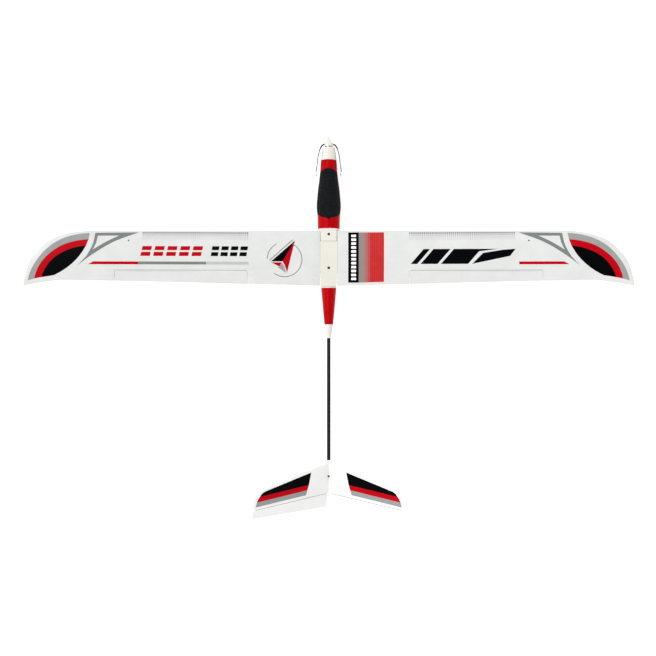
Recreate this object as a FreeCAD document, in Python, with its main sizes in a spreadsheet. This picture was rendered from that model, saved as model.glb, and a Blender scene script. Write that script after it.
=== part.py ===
"""Electric V-tail RC sailplane: pod and boom fuselage, two-panel foam wing, folding propeller.

Frame: +X towards the right wing tip, +Y towards the nose, +Z up.  The origin is under the
middle of the bounding box, on the flat of the belly.  Millimetres throughout.
"""
import FreeCAD, Part
import math
import os

import Sketcher
from FreeCAD import Placement, Rotation, Vector

X_AXIS = Vector(1, 0, 0)
Y_AXIS = Vector(0, 1, 0)
Z_AXIS = Vector(0, 0, 1)

doc = FreeCAD.newDocument("Sailplane")

# ---------------------------------------------------------------------------
# Driving dimensions
# ---------------------------------------------------------------------------
DIMENSIONS = [
    # wing
    ("half_span", 900.0),
    ("dihedral_deg", 2.5),
    ("wing_chord_z", 70.0),
    ("wing_root_x", 25.8),
    ("wing_lead_y", 273.5),
    ("wing_trail_y", 109.0),
    ("wing_thickness", 0.108),
    ("wing_camber", 0.025),
    ("aileron_inner_x", 240.0),
    ("aileron_outer_x", 633.0),
    ("aileron_hinge_y", 154.5),
    ("hinge_half_gap", 0.25),
    ("aileron_end_gap", 0.7),
    ("bevel_deg", 28.0),
    ("spar_y", 241.5),
    ("spar_outer", 6.0),
    ("spar_inner", 4.4),
    ("spar_end_x", 590.0),
    ("fit_gap", 0.05),
    # pod
    ("wall", 2.2),
    ("seat_z", 64.6),
    ("seat_front_y", 280.1),
    ("seat_rear_y", 107.4),
    ("thrust_z", 42.0),
    ("nose_y", 526.5),
    ("hatch_gap", 0.35),
    ("hatch_wall", 2.5),
    # boom and tail
    ("boom_z", 56.0),
    ("boom_outer", 11.0),
    ("boom_inner", 9.0),
    ("boom_front_y", 40.0),
    ("boom_rear_y", -486.0),
    ("tail_angle_deg", 36.0),
    ("tail_apex_z", 70.0),
    ("tail_root_thickness", 0.058),
    ("tail_hinge_root_y", -508.2),
    ("tail_hinge_slope", 0.1225),
    ("tail_screw_y", -458.0),
    # power train
    ("firewall_thick", 3.0),
    ("firewall_radius", 15.6),
    ("motor_radius", 14.0),
    ("shaft_radius", 2.0),
    ("spinner_radius", 14.0),
    ("spinner_base_y", 530.4),
    ("spinner_tip_y", 558.0),
    ("blade_pin_x", 10.0),
    ("blade_pin_y", 536.5),
    ("blade_pin_radius", 1.0),
    ("blade_root_radius", 3.6),
    ("blade_root_thick", 4.0),
    ("slot_width", 12.0),
    # linkages
    ("aileron_arm", 16.0),
    ("aileron_link_x", 352.0),
    ("aileron_servo_y", 52.0),
    ("aileron_servo_z", -5.0),
    ("rod_radius", 0.75),
    ("pin_radius", 0.7),
    ("tail_arm", 10.0),
    ("tail_rod_x", 2.0),
    ("tail_rod_z", 54.0),
    ("tail_servo_y", 221.0),
    ("tail_horn_span", 14.0),
    # fasteners
    ("bolt_radius", 2.0),
    ("bolt_head_radius", 3.9),
    ("bolt_front_y", 262.5),
    ("bolt_rear_y", 162.5),
]

sheet = doc.addObject("Spreadsheet::Sheet", "Dims")
for row, (alias, value) in enumerate(DIMENSIONS, start=1):
    sheet.set("A%d" % row, alias.replace("_", " "))
    sheet.set("B%d" % row, "%g" % value)
    sheet.setAlias("B%d" % row, alias)
doc.recompute()


def dim(alias):
    """Value of one driving dimension."""
    return float(sheet.get(alias))


def number(expression):
    """Value of an expression over the sheet."""
    return float(sheet.evalExpression(str(expression)))


nodes = []


def node(item, label):
    """Register an object as one named sub-part."""
    item.Label = label
    nodes.append(item)
    return item


# ---------------------------------------------------------------------------
# Sketched solids
# ---------------------------------------------------------------------------
def new_sketch(body, name, role, offset=None):
    """Sketch on one of the body's own origin planes, optionally offset along its normal."""
    sketch = body.newObject("Sketcher::SketchObject", name)
    plane = [item for item in body.Origin.OriginFeatures if item.Role == role][0]
    sketch.AttachmentSupport = (plane, [""])
    sketch.MapMode = "FlatFace"
    if offset is not None:
        sketch.setExpression(".AttachmentOffset.Base.z", str(offset))
    return sketch


def add_polygon(sketch, points):
    """Closed polygon whose corners are bound to expressions over the sheet."""
    values = [(number(a), number(b)) for a, b in points]
    first = sketch.GeometryCount
    count = len(points)
    for index in range(count):
        start = Vector(values[index][0], values[index][1], 0)
        after = values[(index + 1) % count]
        sketch.addGeometry(Part.LineSegment(start, Vector(after[0], after[1], 0)), False)
    for index in range(count):
        following = first + (index + 1) % count
        sketch.addConstraint(Sketcher.Constraint("Coincident", first + index, 2, following, 1))
    for index in range(count):
        for kind, side in (("DistanceX", 0), ("DistanceY", 1)):
            constraint = Sketcher.Constraint(kind, -1, 1, first + index, 1, values[index][side])
            key = sketch.addConstraint(constraint)
            sketch.setExpression("Constraints[%d]" % key, str(points[index][side]))


def add_circle(sketch, x, y, radius):
    """Circle whose centre and radius are bound to expressions over the sheet."""
    centre = Vector(number(x), number(y), 0)
    curve = sketch.addGeometry(Part.Circle(centre, Z_AXIS, number(radius)), False)
    key = sketch.addConstraint(Sketcher.Constraint("Radius", curve, number(radius)))
    sketch.setExpression("Constraints[%d]" % key, str(radius))
    for kind, expression, value in (("DistanceX", x, centre.x), ("DistanceY", y, centre.y)):
        key = sketch.addConstraint(Sketcher.Constraint(kind, -1, 1, curve, 3, value))
        sketch.setExpression("Constraints[%d]" % key, str(expression))


def rectangle(x0, y0, x1, y1):
    """Corner list of an upright rectangle."""
    return [(x0, y0), (x1, y0), (x1, y1), (x0, y1)]


def pad(body, sketch, length, symmetric=False, reverse=False):
    """Pad a sketch by an expression."""
    feature = body.newObject("PartDesign::Pad", sketch.Name + "Pad")
    feature.Profile = sketch
    feature.setExpression("Length", str(length))
    if symmetric:
        feature.SideType = "Symmetric"
    feature.Reversed = reverse
    doc.recompute()
    return feature


def pocket(body, sketch, length, symmetric=True):
    """Cut a sketch out of a body and make sure material really went."""
    before = body.Shape.Volume
    feature = body.newObject("PartDesign::Pocket", sketch.Name + "Pocket")
    feature.Profile = sketch
    feature.setExpression("Length", str(length))
    if symmetric:
        feature.SideType = "Symmetric"
    doc.recompute()
    if body.Shape.Volume > before - 0.5:
        raise RuntimeError("pocket %s removes nothing" % sketch.Name)
    return feature


def revolve(body, sketch):
    """Turn a sketch about its vertical axis."""
    feature = body.newObject("PartDesign::Revolution", sketch.Name + "Turn")
    feature.Profile = sketch
    feature.ReferenceAxis = (sketch, ["V_Axis"])
    feature.Angle = 360
    doc.recompute()
    return feature


def place_z(item, expression):
    """Lift a whole sub-part to a height from the sheet."""
    item.setExpression(".Placement.Base.z", str(expression))


# ---------------------------------------------------------------------------
# Freeform solids
# ---------------------------------------------------------------------------
def box(name, x0, y0, z0, x1, y1, z1):
    """Part::Box between two corners, each bound to an expression."""
    item = doc.addObject("Part::Box", name)
    for side, low, high, letter in (("Length", x0, x1, "x"), ("Width", y0, y1, "y"), ("Height", z0, z1, "z")):
        item.setExpression(side, "(%s) - (%s)" % (high, low))
        item.setExpression(".Placement.Base." + letter, str(low))
    return item


def cylinder(name, radius, height, x, y, z, axis="z"):
    """Part::Cylinder starting at a point and running along +X, +Y or +Z."""
    item = doc.addObject("Part::Cylinder", name)
    item.setExpression("Radius", str(radius))
    item.setExpression("Height", str(height))
    turns = {"x": Rotation(Y_AXIS, 90), "y": Rotation(X_AXIS, -90), "z": Rotation()}
    item.Placement = Placement(Vector(0, 0, 0), turns[axis])
    for letter, value in (("x", x), ("y", y), ("z", z)):
        item.setExpression(".Placement.Base." + letter, str(value))
    return item


def fuse(name, items):
    """Part::MultiFuse of several objects."""
    item = doc.addObject("Part::MultiFuse", name)
    item.Shapes = items
    return item


def cut(name, base, tool):
    """Part::Cut of one object by another."""
    item = doc.addObject("Part::Cut", name)
    item.Base = base
    item.Tool = tool
    return item


def compound(name, items):
    """Separate identical solids kept together as one group."""
    item = doc.addObject("Part::Compound", name)
    item.Links = items
    return item


def mirror(source, label):
    """Left-hand twin of a right-hand sub-part."""
    item = doc.addObject("Part::Mirroring", label)
    item.Source = source
    item.Normal = X_AXIS
    item.Base = Vector(0, 0, 0)
    return node(item, label)


def freeform(name, shape):
    """Object whose shape comes from lofted curves."""
    item = doc.addObject("Part::Feature", name)
    item.Shape = shape
    item.Placement = Placement()
    return item


def both_sides(right, name):
    """Register a right-hand sub-part and its left-hand twin."""
    node(right, name + "_right")
    mirror(right, name + "_left")


def solid_box(x0, y0, z0, x1, y1, z1):
    """Plain box solid used as a cutting tool."""
    return Part.makeBox(x1 - x0, y1 - y0, z1 - z0, Vector(x0, y0, z0))


def prism(points, direction):
    """Planar polygon swept along a vector."""
    return Part.Face(Part.makePolygon(points + points[:1])).extrude(direction)


def one_solid(shape):
    """The single solid that a boolean leaves, without its wrapper."""
    solids = sorted(shape.Solids, key=lambda item: -item.Volume)
    return solids[0]


def rod(points, radius):
    """Bent round wire through a list of points."""
    shape = None
    for start, end in zip(points[:-1], points[1:]):
        run = end - start
        piece = Part.makeCylinder(radius, run.Length, start, run)
        shape = piece if shape is None else shape.fuse(piece)
    for corner in points[1:-1]:
        shape = shape.fuse(Part.makeSphere(radius, corner))
    return shape


def eye(centre, axis, outer, inner, width):
    """Flat ring around a pivot pin, and the hole through it."""
    start = centre - axis * (width / 2)
    ring = Part.makeCylinder(outer, width, start, axis)
    hole = Part.makeCylinder(inner, width * 3, centre - axis * (width * 1.5), axis)
    return ring, hole


# ---------------------------------------------------------------------------
# Lifting surfaces
# ---------------------------------------------------------------------------
CHORD_STATIONS = 13


def foil_offsets(fraction, thickness, camber):
    """Camber height and half thickness of the section, as fractions of its chord."""
    root = math.sqrt(fraction)
    poly = 0.2969 * root - 0.1260 * fraction - 0.3516 * fraction ** 2
    poly += 0.2843 * fraction ** 3 - 0.1036 * fraction ** 4
    peak = 0.4
    if fraction < peak:
        line = camber / peak ** 2 * (2 * peak * fraction - fraction ** 2)
    else:
        line = camber / (1 - peak) ** 2 * (1 - 2 * peak + 2 * peak * fraction - fraction ** 2)
    return line, 5 * thickness * poly


def foil_height(y, lead, trail, base_z, thickness, camber):
    """Upper surface height of a section at one chord position."""
    chord = lead - trail
    fraction = (lead - y) / chord
    line, half = foil_offsets(fraction, thickness, camber)
    return base_z + chord * (line + half) + 0.4 * fraction


def foil_wire(x, lead, trail, base_z, thickness, camber):
    """Closed airfoil wire: one spline round the nose and a short blunt trailing edge."""
    chord = lead - trail
    upper = []
    lower = []
    for step in range(CHORD_STATIONS + 1):
        fraction = 0.5 * (1 - math.cos(math.pi * step / CHORD_STATIONS))
        line, half = foil_offsets(fraction, thickness, camber)
        blunt = 0.4 * fraction
        y = lead - chord * fraction
        upper.append(Vector(x, y, base_z + chord * (line + half) + blunt))
        lower.append(Vector(x, y, base_z + chord * (line - half) - blunt))
    curve = Part.BSplineCurve()
    curve.interpolate(list(reversed(upper)) + lower[1:])
    return Part.Wire([curve.toShape(), Part.makeLine(lower[-1], upper[-1])])


def surface(sections):
    """Solid through a row of airfoil sections."""
    return Part.makeLoft([foil_wire(*section) for section in sections], True, True)


SLOPE = math.tan(math.radians(dim("dihedral_deg")))
LEAD = dim("wing_lead_y")
TRAIL = dim("wing_trail_y")
SPAN = dim("half_span")
THICK = dim("wing_thickness")
CAMBER = dim("wing_camber")


def wing_section(x, lead, trail, share=1.0):
    """Wing section at a span position; share thins the section towards the tip."""
    base = dim("wing_chord_z") + x * SLOPE
    return (x, lead, trail, base, THICK * share, CAMBER)


# Span position, leading edge and trailing edge (both from the root's), thickness share.
WING_PLAN = [
    (dim("wing_root_x"), 0.0, 0.0, 1.0),
    (240.0, -0.7, 5.0, 0.99),
    (633.0, -1.5, 14.0, 0.95),
    (700.0, -1.7, 14.6, 0.93),
    (735.0, -5.0, 15.3, 0.92),
    (769.0, -10.0, 16.0, 0.90),
    (792.0, -17.0, 15.6, 0.88),
    (815.0, -26.5, 13.0, 0.86),
    (834.0, -39.0, 10.5, 0.84),
    (850.0, -53.5, 8.0, 0.82),
    (864.0, -69.0, 5.5, 0.80),
    (877.0, -85.5, 3.3, 0.78),
    (885.0, -101.0, 2.0, 0.76),
    (891.0, -119.5, 1.0, 0.75),
    (896.0, -140.0, 0.4, 0.75),
    (SPAN, -158.0, 0.0, 0.75),
]
wing_full = surface([wing_section(x, LEAD + lead, TRAIL + trail, share) for x, lead, trail, share in WING_PLAN])

inner_x = dim("aileron_inner_x")
outer_x = dim("aileron_outer_x")
hinge_y = dim("aileron_hinge_y")
gap = dim("hinge_half_gap")


def hinge_point(plan_row):
    """Aileron hinge point on the upper skin at one row of the plan."""
    x, lead, trail, share = plan_row
    section = wing_section(x, LEAD + lead, TRAIL + trail, share)
    return Vector(x, hinge_y, foil_height(hinge_y, *section[1:]))


aileron_start = hinge_point(WING_PLAN[1])
aileron_end = hinge_point(WING_PLAN[2])
aileron_axis = (aileron_end - aileron_start).normalize()


def bevel(start, along, length):
    """Wedge behind a top hinge that lets the surface swing down without touching."""
    rise = math.tan(math.radians(dim("bevel_deg")))
    depth = 40.0
    side = Vector(along.y, -along.x, 0).normalize() * -1
    lip = start - Vector(0, 0, 0.8)
    low = Vector(0, 0, -depth)
    ahead = side * 4.0
    rear = side * (-depth * rise)
    points = [lip, lip + ahead, lip + ahead + low, lip + low + rear]
    points = [point - along * 30 for point in points]
    return prism(points, along * (length + 60))


wing_behind = solid_box(inner_x, 60, 0, outer_x, hinge_y + gap, 200)
aileron_zone = solid_box(inner_x + dim("aileron_end_gap"), 60, 0, outer_x - dim("aileron_end_gap"), hinge_y - gap, 200)
wedge = bevel(aileron_start - Vector(0, gap, 0), aileron_axis, (aileron_end - aileron_start).Length)
aileron_shape = one_solid(wing_full.common(aileron_zone).cut(wedge))

# Linkage frame of the aileron: origin on the hinge line, x along the hinge.
link_x = dim("aileron_link_x")
link_origin = aileron_start + aileron_axis * ((link_x - inner_x) / aileron_axis.x)
link_up = aileron_axis.cross(Y_AXIS).normalize()
link_frame = Placement(link_origin, Rotation(aileron_axis, Y_AXIS, link_up, "XZY"))


def in_link(shape):
    """Move a shape from the aileron linkage frame into the aircraft frame."""
    moved = shape.copy()
    moved.transformShape(link_frame.toMatrix(), True)
    return moved


servo_y = dim("aileron_servo_y")
servo_z = dim("aileron_servo_z")
servo_well = in_link(solid_box(0.8, servo_y - 13.0, -40, 29.6, servo_y + 11.6, servo_z + 6.6))
spar_slope = Vector(1, 0, SLOPE).normalize()
spar_centre_z = dim("wing_chord_z") + 3.2
spar_root = Vector(0, dim("spar_y"), spar_centre_z)


def along_spar(x):
    """Point of the spar axis at one span position."""
    return spar_root + spar_slope * (x / spar_slope.x)


spar_start = along_spar(2.0)
spar_length = (dim("spar_end_x") - 2.0) / spar_slope.x
spar_bore = Part.makeCylinder(dim("spar_outer") / 2 + dim("fit_gap"), spar_length + 1.0, spar_start, spar_slope)
peg_end_x = 60.0
peg_y = 150.0
peg_start = Vector(8.0, peg_y, dim("wing_chord_z") + 2.6 + 8.0 * SLOPE)
peg_length = (peg_end_x - 8.0) / spar_slope.x
peg_bore = Part.makeCylinder(2.0 + dim("fit_gap"), peg_length + 1.0, peg_start, spar_slope)
plug_top = foil_height(dim("spar_y"), LEAD - 1.4, TRAIL + 13.0,
                       dim("wing_chord_z") + dim("spar_end_x") * SLOPE, THICK * 0.954, CAMBER)
plug_base = Vector(dim("spar_end_x"), dim("spar_y"), plug_top - 2.0)
plug_hole = Part.makeCylinder(2.3, 10.0, plug_base, Z_AXIS)

panel = wing_full.cut(wing_behind)
for tool in (servo_well, spar_bore, peg_bore, plug_hole):
    panel = panel.cut(tool)
both_sides(freeform("WingPanel", one_solid(panel)), "wing_panel")
both_sides(freeform("Aileron", aileron_shape), "aileron")
spar_tube = Part.makeCylinder(dim("spar_outer") / 2, spar_length, spar_start, spar_slope)
spar_core = Part.makeCylinder(dim("spar_inner") / 2, spar_length, spar_start, spar_slope)
both_sides(freeform("WingSpar", spar_tube.cut(spar_core)), "wing_spar")
both_sides(freeform("WingPeg", Part.makeCylinder(2.0, peg_length, peg_start, spar_slope)), "wing_peg")
both_sides(freeform("SparPlug", Part.makeCylinder(2.2, 2.2, plug_base, Z_AXIS)), "spar_end_plug")

# ---------------------------------------------------------------------------
# Aileron linkage, drawn on the right wing in its own frame
# ---------------------------------------------------------------------------
arm = dim("aileron_arm")
pin = dim("pin_radius")
pivot = Vector(0, servo_y, servo_z)
arm_pin = pivot - Vector(0, 0, arm)
horn_pin = Vector(0, 0, -arm)

servo = solid_box(6.3, servo_y - 12.4, servo_z - 6.0, 28.8, servo_y + 10.9, servo_z + 6.0)
servo = servo.fuse(Part.makeCylinder(3.0, 0.6, pivot + Vector(5.7, 0, 0), X_AXIS))
both_sides(freeform("AileronServo", in_link(servo.removeSplitter())), "aileron_servo")

arm_plate = prism([pivot + Vector(2.4, 3.4, 1.5), pivot + Vector(2.4, -3.4, 1.5),
                   arm_pin + Vector(2.4, -1.9, -1.5), arm_pin + Vector(2.4, 1.9, -1.5)], X_AXIS * 1.8)
arm_hub = Part.makeCylinder(3.2, 3.0, pivot + Vector(2.4, 0, 0), X_AXIS)
arm_stub = Part.makeCylinder(pin, 4.6, arm_pin + Vector(-1.4, 0, 0), X_AXIS)
servo_arm = arm_plate.fuse([arm_hub, arm_stub]).removeSplitter()
both_sides(freeform("AileronArm", in_link(servo_arm)), "aileron_servo_arm")

horn_plate = prism([Vector(1.6, -2.0, -2.0), Vector(1.6, -24.0, -2.0), Vector(1.6, -24.0, -8.2),
                    Vector(1.6, -3.0, -arm - 1.8), Vector(1.6, 1.6, -arm - 1.8), Vector(1.6, 1.6, -arm + 1.4),
                    Vector(1.6, -2.6, -9.5), Vector(1.6, -4.6, -6.0)], X_AXIS * 1.4)
horn_stub = Part.makeCylinder(0.6, 3.4, horn_pin + Vector(-1.4, 0, 0), X_AXIS)
horn = in_link(horn_plate.fuse(horn_stub).removeSplitter()).cut(aileron_shape)
both_sides(freeform("AileronHorn", one_solid(horn)), "aileron_horn")

arm_ring, arm_hole = eye(arm_pin, X_AXIS, 2.1, pin + 0.05, 1.6)
horn_ring, horn_hole = eye(horn_pin, X_AXIS, 2.3, 1.1, 1.6)
link = rod([arm_pin, horn_pin], dim("rod_radius")).fuse([arm_ring, horn_ring])
link = link.cut(arm_hole).cut(horn_hole).removeSplitter()
both_sides(freeform("AileronRod", in_link(one_solid(link))), "aileron_pushrod")

# ---------------------------------------------------------------------------
# V-tail
# ---------------------------------------------------------------------------
TAIL_ANGLE = math.radians(dim("tail_angle_deg"))
COS_TAIL = math.cos(TAIL_ANGLE)
APEX = dim("tail_apex_z")
tail_frame = Placement(Vector(0, 0, APEX), Rotation(Y_AXIS, -dim("tail_angle_deg")))


def in_tail(shape):
    """Move a shape from the flat right tail panel into the aircraft frame."""
    moved = shape.copy()
    moved.transformShape(tail_frame.toMatrix(), True)
    return moved


# Plan position, leading edge, trailing edge, thickness share.
TAIL_PLAN = [
    (-6.0, -414.0, -548.2, 1.0),
    (0.0, -416.0, -548.5, 1.0),
    (185.0, -478.0, -556.6, 0.95),
    (195.0, -483.5, -557.0, 0.95),
    (204.0, -491.0, -557.3, 0.92),
    (210.0, -501.0, -557.6, 0.90),
    (214.0, -515.0, -557.8, 0.85),
    (217.7, -540.0, -558.0, 0.85),
]
tail_full = surface([(x / COS_TAIL, lead, trail, 0.0, dim("tail_root_thickness") * share, 0.0)
                     for x, lead, trail, share in TAIL_PLAN])


def tail_hinge_y(x):
    """Hinge line position at one plan distance from the centre."""
    return dim("tail_hinge_root_y") - dim("tail_hinge_slope") * x


def tail_hinge_point(x):
    """Hinge point on the upper skin, in the flat panel."""
    share = x / TAIL_PLAN[2][0]
    lead = TAIL_PLAN[1][1] + (TAIL_PLAN[2][1] - TAIL_PLAN[1][1]) * share
    trail = TAIL_PLAN[1][2] + (TAIL_PLAN[2][2] - TAIL_PLAN[1][2]) * share
    y = tail_hinge_y(x)
    height = foil_height(y, lead, trail, 0.0, dim("tail_root_thickness") * (1 - 0.05 * share), 0.0)
    return Vector(x / COS_TAIL, y, height)


tail_inner = tail_hinge_point(9.0)
tail_outer = tail_hinge_point(184.0)
tail_axis = (tail_outer - tail_inner).normalize()
low_tail = Vector(0, 0, -20)
behind = [Vector(-12 / COS_TAIL, tail_hinge_y(-12) + gap, 0), Vector(240 / COS_TAIL, tail_hinge_y(240) + gap, 0),
          Vector(240 / COS_TAIL, -580, 0), Vector(-12 / COS_TAIL, -580, 0)]
rudder_zone = [Vector(9.0 / COS_TAIL, tail_hinge_y(9) - gap, 0), Vector(240 / COS_TAIL, tail_hinge_y(240) - gap, 0),
               Vector(240 / COS_TAIL, -580, 0), Vector(13.5 / COS_TAIL, -580, 0)]
stabilizer = tail_full.cut(prism([point + low_tail for point in behind], Vector(0, 0, 40)))
ruddervator = tail_full.common(prism([point + low_tail for point in rudder_zone], Vector(0, 0, 40)))
ruddervator = one_solid(ruddervator.cut(bevel(tail_inner - Vector(0, gap, 0), tail_axis, 250)))
stabilizer = in_tail(stabilizer).cut(solid_box(-40, -600, 0, 0.05, -300, 300))
stabilizer = stabilizer.cut(Part.makeCylinder(1.65, 60, Vector(0, dim("tail_screw_y"), 50), Z_AXIS))
stabilizer = stabilizer.cut(Part.makeCylinder(3.2, 60, Vector(0, dim("tail_screw_y"), 76), Z_AXIS))
both_sides(freeform("Stabilizer", one_solid(stabilizer)), "stabilizer")
both_sides(freeform("Ruddervator", in_tail(ruddervator)), "ruddervator")

# Ruddervator horn and its pushrod.
tail_arm = dim("tail_arm")
tail_u = tail_inner + tail_axis * ((dim("tail_horn_span") - tail_inner.x) / tail_axis.x)
tail_pin = tail_u + Vector(0, 0, -tail_arm)
horn_x = tail_u.x + 1.6
tail_horn = prism([Vector(horn_x, tail_u.y - 2.0, 0.5), Vector(horn_x, tail_u.y - 17.0, 0.5),
                   Vector(horn_x, tail_u.y - 17.0, -3.6), Vector(horn_x, tail_u.y - 3.0, tail_pin.z - 1.6),
                   Vector(horn_x, tail_u.y + 1.4, tail_pin.z - 1.6), Vector(horn_x, tail_u.y + 1.4, tail_pin.z + 1.2),
                   Vector(horn_x, tail_u.y - 3.4, tail_pin.z + 5.0)], X_AXIS * 1.4)
tail_stub = Part.makeCylinder(0.6, 3.6, tail_pin + Vector(-1.5, 0, 0), X_AXIS)
tail_horn = one_solid(tail_horn.fuse(tail_stub).removeSplitter().cut(ruddervator))
both_sides(freeform("TailHorn", in_tail(tail_horn)), "tail_horn")

rod_x = dim("tail_rod_x")
rod_z = dim("tail_rod_z")
tail_servo_y = dim("tail_servo_y")
tail_axis_u = tail_frame.Rotation.multVec(X_AXIS)
tail_pin_world = tail_frame.multVec(tail_pin)
servo_pin = Vector(rod_x, tail_servo_y, rod_z)
rear_ring, rear_hole = eye(tail_pin_world, tail_axis_u, 2.6, 1.5, 1.4)
front_ring, front_hole = eye(servo_pin, X_AXIS, 2.4, 1.5, 1.2)
tail_rod = rod([servo_pin, Vector(rod_x, dim("boom_rear_y") - 3.0, rod_z), tail_pin_world], dim("rod_radius"))
tail_rod = tail_rod.fuse([rear_ring, front_ring]).cut(rear_hole).cut(front_hole).removeSplitter()
both_sides(freeform("TailRod", one_solid(tail_rod)), "tail_pushrod")

servo_shaft = Vector(3.6, tail_servo_y, rod_z - tail_arm)
tail_lever = prism([servo_shaft + Vector(0, -2.8, -1.4), servo_shaft + Vector(0, 2.8, -1.4),
                    servo_shaft + Vector(0, 1.6, tail_arm + 1.4), servo_shaft + Vector(0, -1.6, tail_arm + 1.4)],
                   X_AXIS * 1.4)
lever_hub = Part.makeCylinder(2.8, 2.4, servo_shaft, X_AXIS)
lever_pin = Part.makeCylinder(0.6, 3.4, servo_shaft + Vector(-2.2, 0, tail_arm), X_AXIS)
both_sides(freeform("TailLever", tail_lever.fuse([lever_hub, lever_pin]).removeSplitter()), "tail_servo_arm")
tail_servo = box("TailServo", "6.4", "Dims.tail_servo_y - 16", "Dims.tail_rod_z - Dims.tail_arm - 11",
                 "18", "Dims.tail_servo_y + 7", "Dims.tail_rod_z - Dims.tail_arm + 10")
both_sides(tail_servo, "tail_servo")

# ---------------------------------------------------------------------------
# Pod
# ---------------------------------------------------------------------------
# Station, full width, bottom, top, squareness of the outline.
POD_STATIONS = [
    (526.5, 36.6, 23.7, 60.3, 2.0),
    (510.0, 41.8, 19.4, 65.6, 2.03),
    (487.0, 47.4, 13.8, 70.2, 2.08),
    (455.0, 51.8, 7.0, 73.6, 2.2),
    (430.0, 57.0, 2.6, 75.4, 2.3),
    (390.0, 67.0, -1.2, 77.2, 2.35),
    (348.0, 73.0, -2.0, 78.0, 2.35),
    (318.0, 67.6, -2.0, 77.6, 2.35),
    (281.0, 65.6, -2.0, 76.0, 2.35),
    (230.0, 61.0, -2.0, 74.0, 2.35),
    (165.0, 53.0, -2.0, 72.0, 2.35),
    (130.0, 48.6, -1.6, 71.0, 2.3),
    (102.5, 45.3, 1.5, 70.4, 2.25),
    (48.0, 36.0, 22.0, 69.6, 2.1),
    (-6.0, 25.8, 40.6, 68.2, 2.0),
    (-47.0, 13.6, 49.2, 62.8, 2.0),
]
OUTLINE_POINTS = 28


def pod_wire(station, width, bottom, top, power, inset):
    """Closed cross-section of the pod, drawn inwards by the inset."""
    half = width / 2 - inset
    tall = (top - bottom) / 2 - inset
    middle = (top + bottom) / 2
    points = []
    for step in range(OUTLINE_POINTS):
        angle = 2 * math.pi * (step + 0.5) / OUTLINE_POINTS
        cosine = math.cos(angle)
        sine = math.sin(angle)
        x = half * math.copysign(abs(cosine) ** (2 / power), cosine)
        z = middle + tall * math.copysign(abs(sine) ** (2 / power), sine)
        points.append(Vector(x, station, z))
    curve = Part.BSplineCurve()
    curve.interpolate(points, PeriodicFlag=True)
    return Part.Wire([curve.toShape()])


def pod_body(inset):
    """Smooth solid through all the pod stations."""
    return Part.makeLoft([pod_wire(*station, inset) for station in POD_STATIONS], True, False)


wall = dim("wall")
floor_cut = solid_box(-60, -80, -20, 60, 560, 0)
pod_outer = pod_body(0.0).cut(floor_cut)
pod_inner = pod_body(wall).cut(solid_box(-60, -80, -20, 60, 560, wall))
nose_bore = Part.makeCylinder(dim("firewall_radius"), 30, Vector(0, dim("nose_y") - 12, dim("thrust_z")), Y_AXIS)


def hatch_profile(shrink):
    """Side view of the canopy hatch swept across the pod."""
    corners = [Vector(-60, 469.7 - shrink, 90), Vector(-60, 438.9 - shrink, 31.5 + shrink),
               Vector(-60, 333.6 + shrink, 31.5 + shrink), Vector(-60, 304.9 + shrink, 90)]
    return prism(corners, X_AXIS * 120)


boom_bore = Part.makeCylinder(dim("boom_outer") / 2 + dim("fit_gap"), 200, Vector(0, -100, dim("boom_z")), Y_AXIS)
seat_tool = solid_box(-60, dim("seat_rear_y"), dim("seat_z"), 60, dim("seat_front_y"), 120)
skin = pod_outer.cut(pod_inner)
shell = skin
for tool in (nose_bore, boom_bore, seat_tool, hatch_profile(0.0)):
    shell = shell.cut(tool)
both_sides(freeform("PodShell", one_solid(shell.common(solid_box(0, -80, -5, 60, 560, 120)))), "fuselage_shell")

hatch_inner = pod_body(dim("hatch_wall"))
hatch = pod_outer.cut(hatch_inner).common(hatch_profile(dim("hatch_gap")))
node(freeform("Hatch", one_solid(hatch)), "canopy_hatch")

# Plywood tray with the equipment seated on it.
tray_top = 16.4
node(box("Tray", "-13", "326", "14", "13", "452", tray_top), "battery_tray")
battery = doc.addObject("Part::Fillet", "BatteryPack")
battery.Base = box("BatteryBlock", "-13", "352", tray_top, "13", "424", tray_top + 22)
doc.recompute()
battery.Edges = [(index + 1, 2.5, 2.5) for index, edge in enumerate(battery.Base.Shape.Edges)
                 if abs(edge.Vertexes[0].Y - edge.Vertexes[-1].Y) > 1]
node(battery, "battery_pack")
strap_outer = box("StrapOuter", "-14.2", "380", "13", "14.2", "396", tray_top + 23.2)
strap_inner = box("StrapInner", "-13.05", "379", "13.95", "13.05", "397", tray_top + 22.05)
node(cut("Strap", strap_outer, strap_inner), "battery_strap")
node(box("Controller", "-10", "427", tray_top, "10", "451", tray_top + 8), "speed_controller")
node(box("Receiver", "-10", "328", tray_top, "10", "349", tray_top + 12), "receiver")
magnet_front = cylinder("MagnetFront", "3", "2", "0", "436", "69.9")
magnet_rear = cylinder("MagnetRear", "3", "2", "0", "330", "72.0")
node(compound("HatchMagnets", [magnet_front, magnet_rear]), "canopy_magnets")

# ---------------------------------------------------------------------------
# Wing seat, centre section and bolts
# ---------------------------------------------------------------------------
saddle = doc.addObject("PartDesign::Body", "Saddle")
profile = new_sketch(saddle, "SaddlePlan", "XY_Plane", "Dims.seat_z - 5")
add_polygon(profile, rectangle("-14", "Dims.bolt_rear_y - 12", "14", "Dims.bolt_front_y + 14"))
pad(saddle, profile, "4.8")
holes = new_sketch(saddle, "SaddleHoles", "XY_Plane", "Dims.seat_z - 4")
for place in ("Dims.bolt_front_y", "Dims.bolt_rear_y"):
    add_circle(holes, "0", place, "Dims.bolt_radius + Dims.fit_gap")
pocket(saddle, holes, "30")
node(saddle, "wing_saddle")


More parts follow.
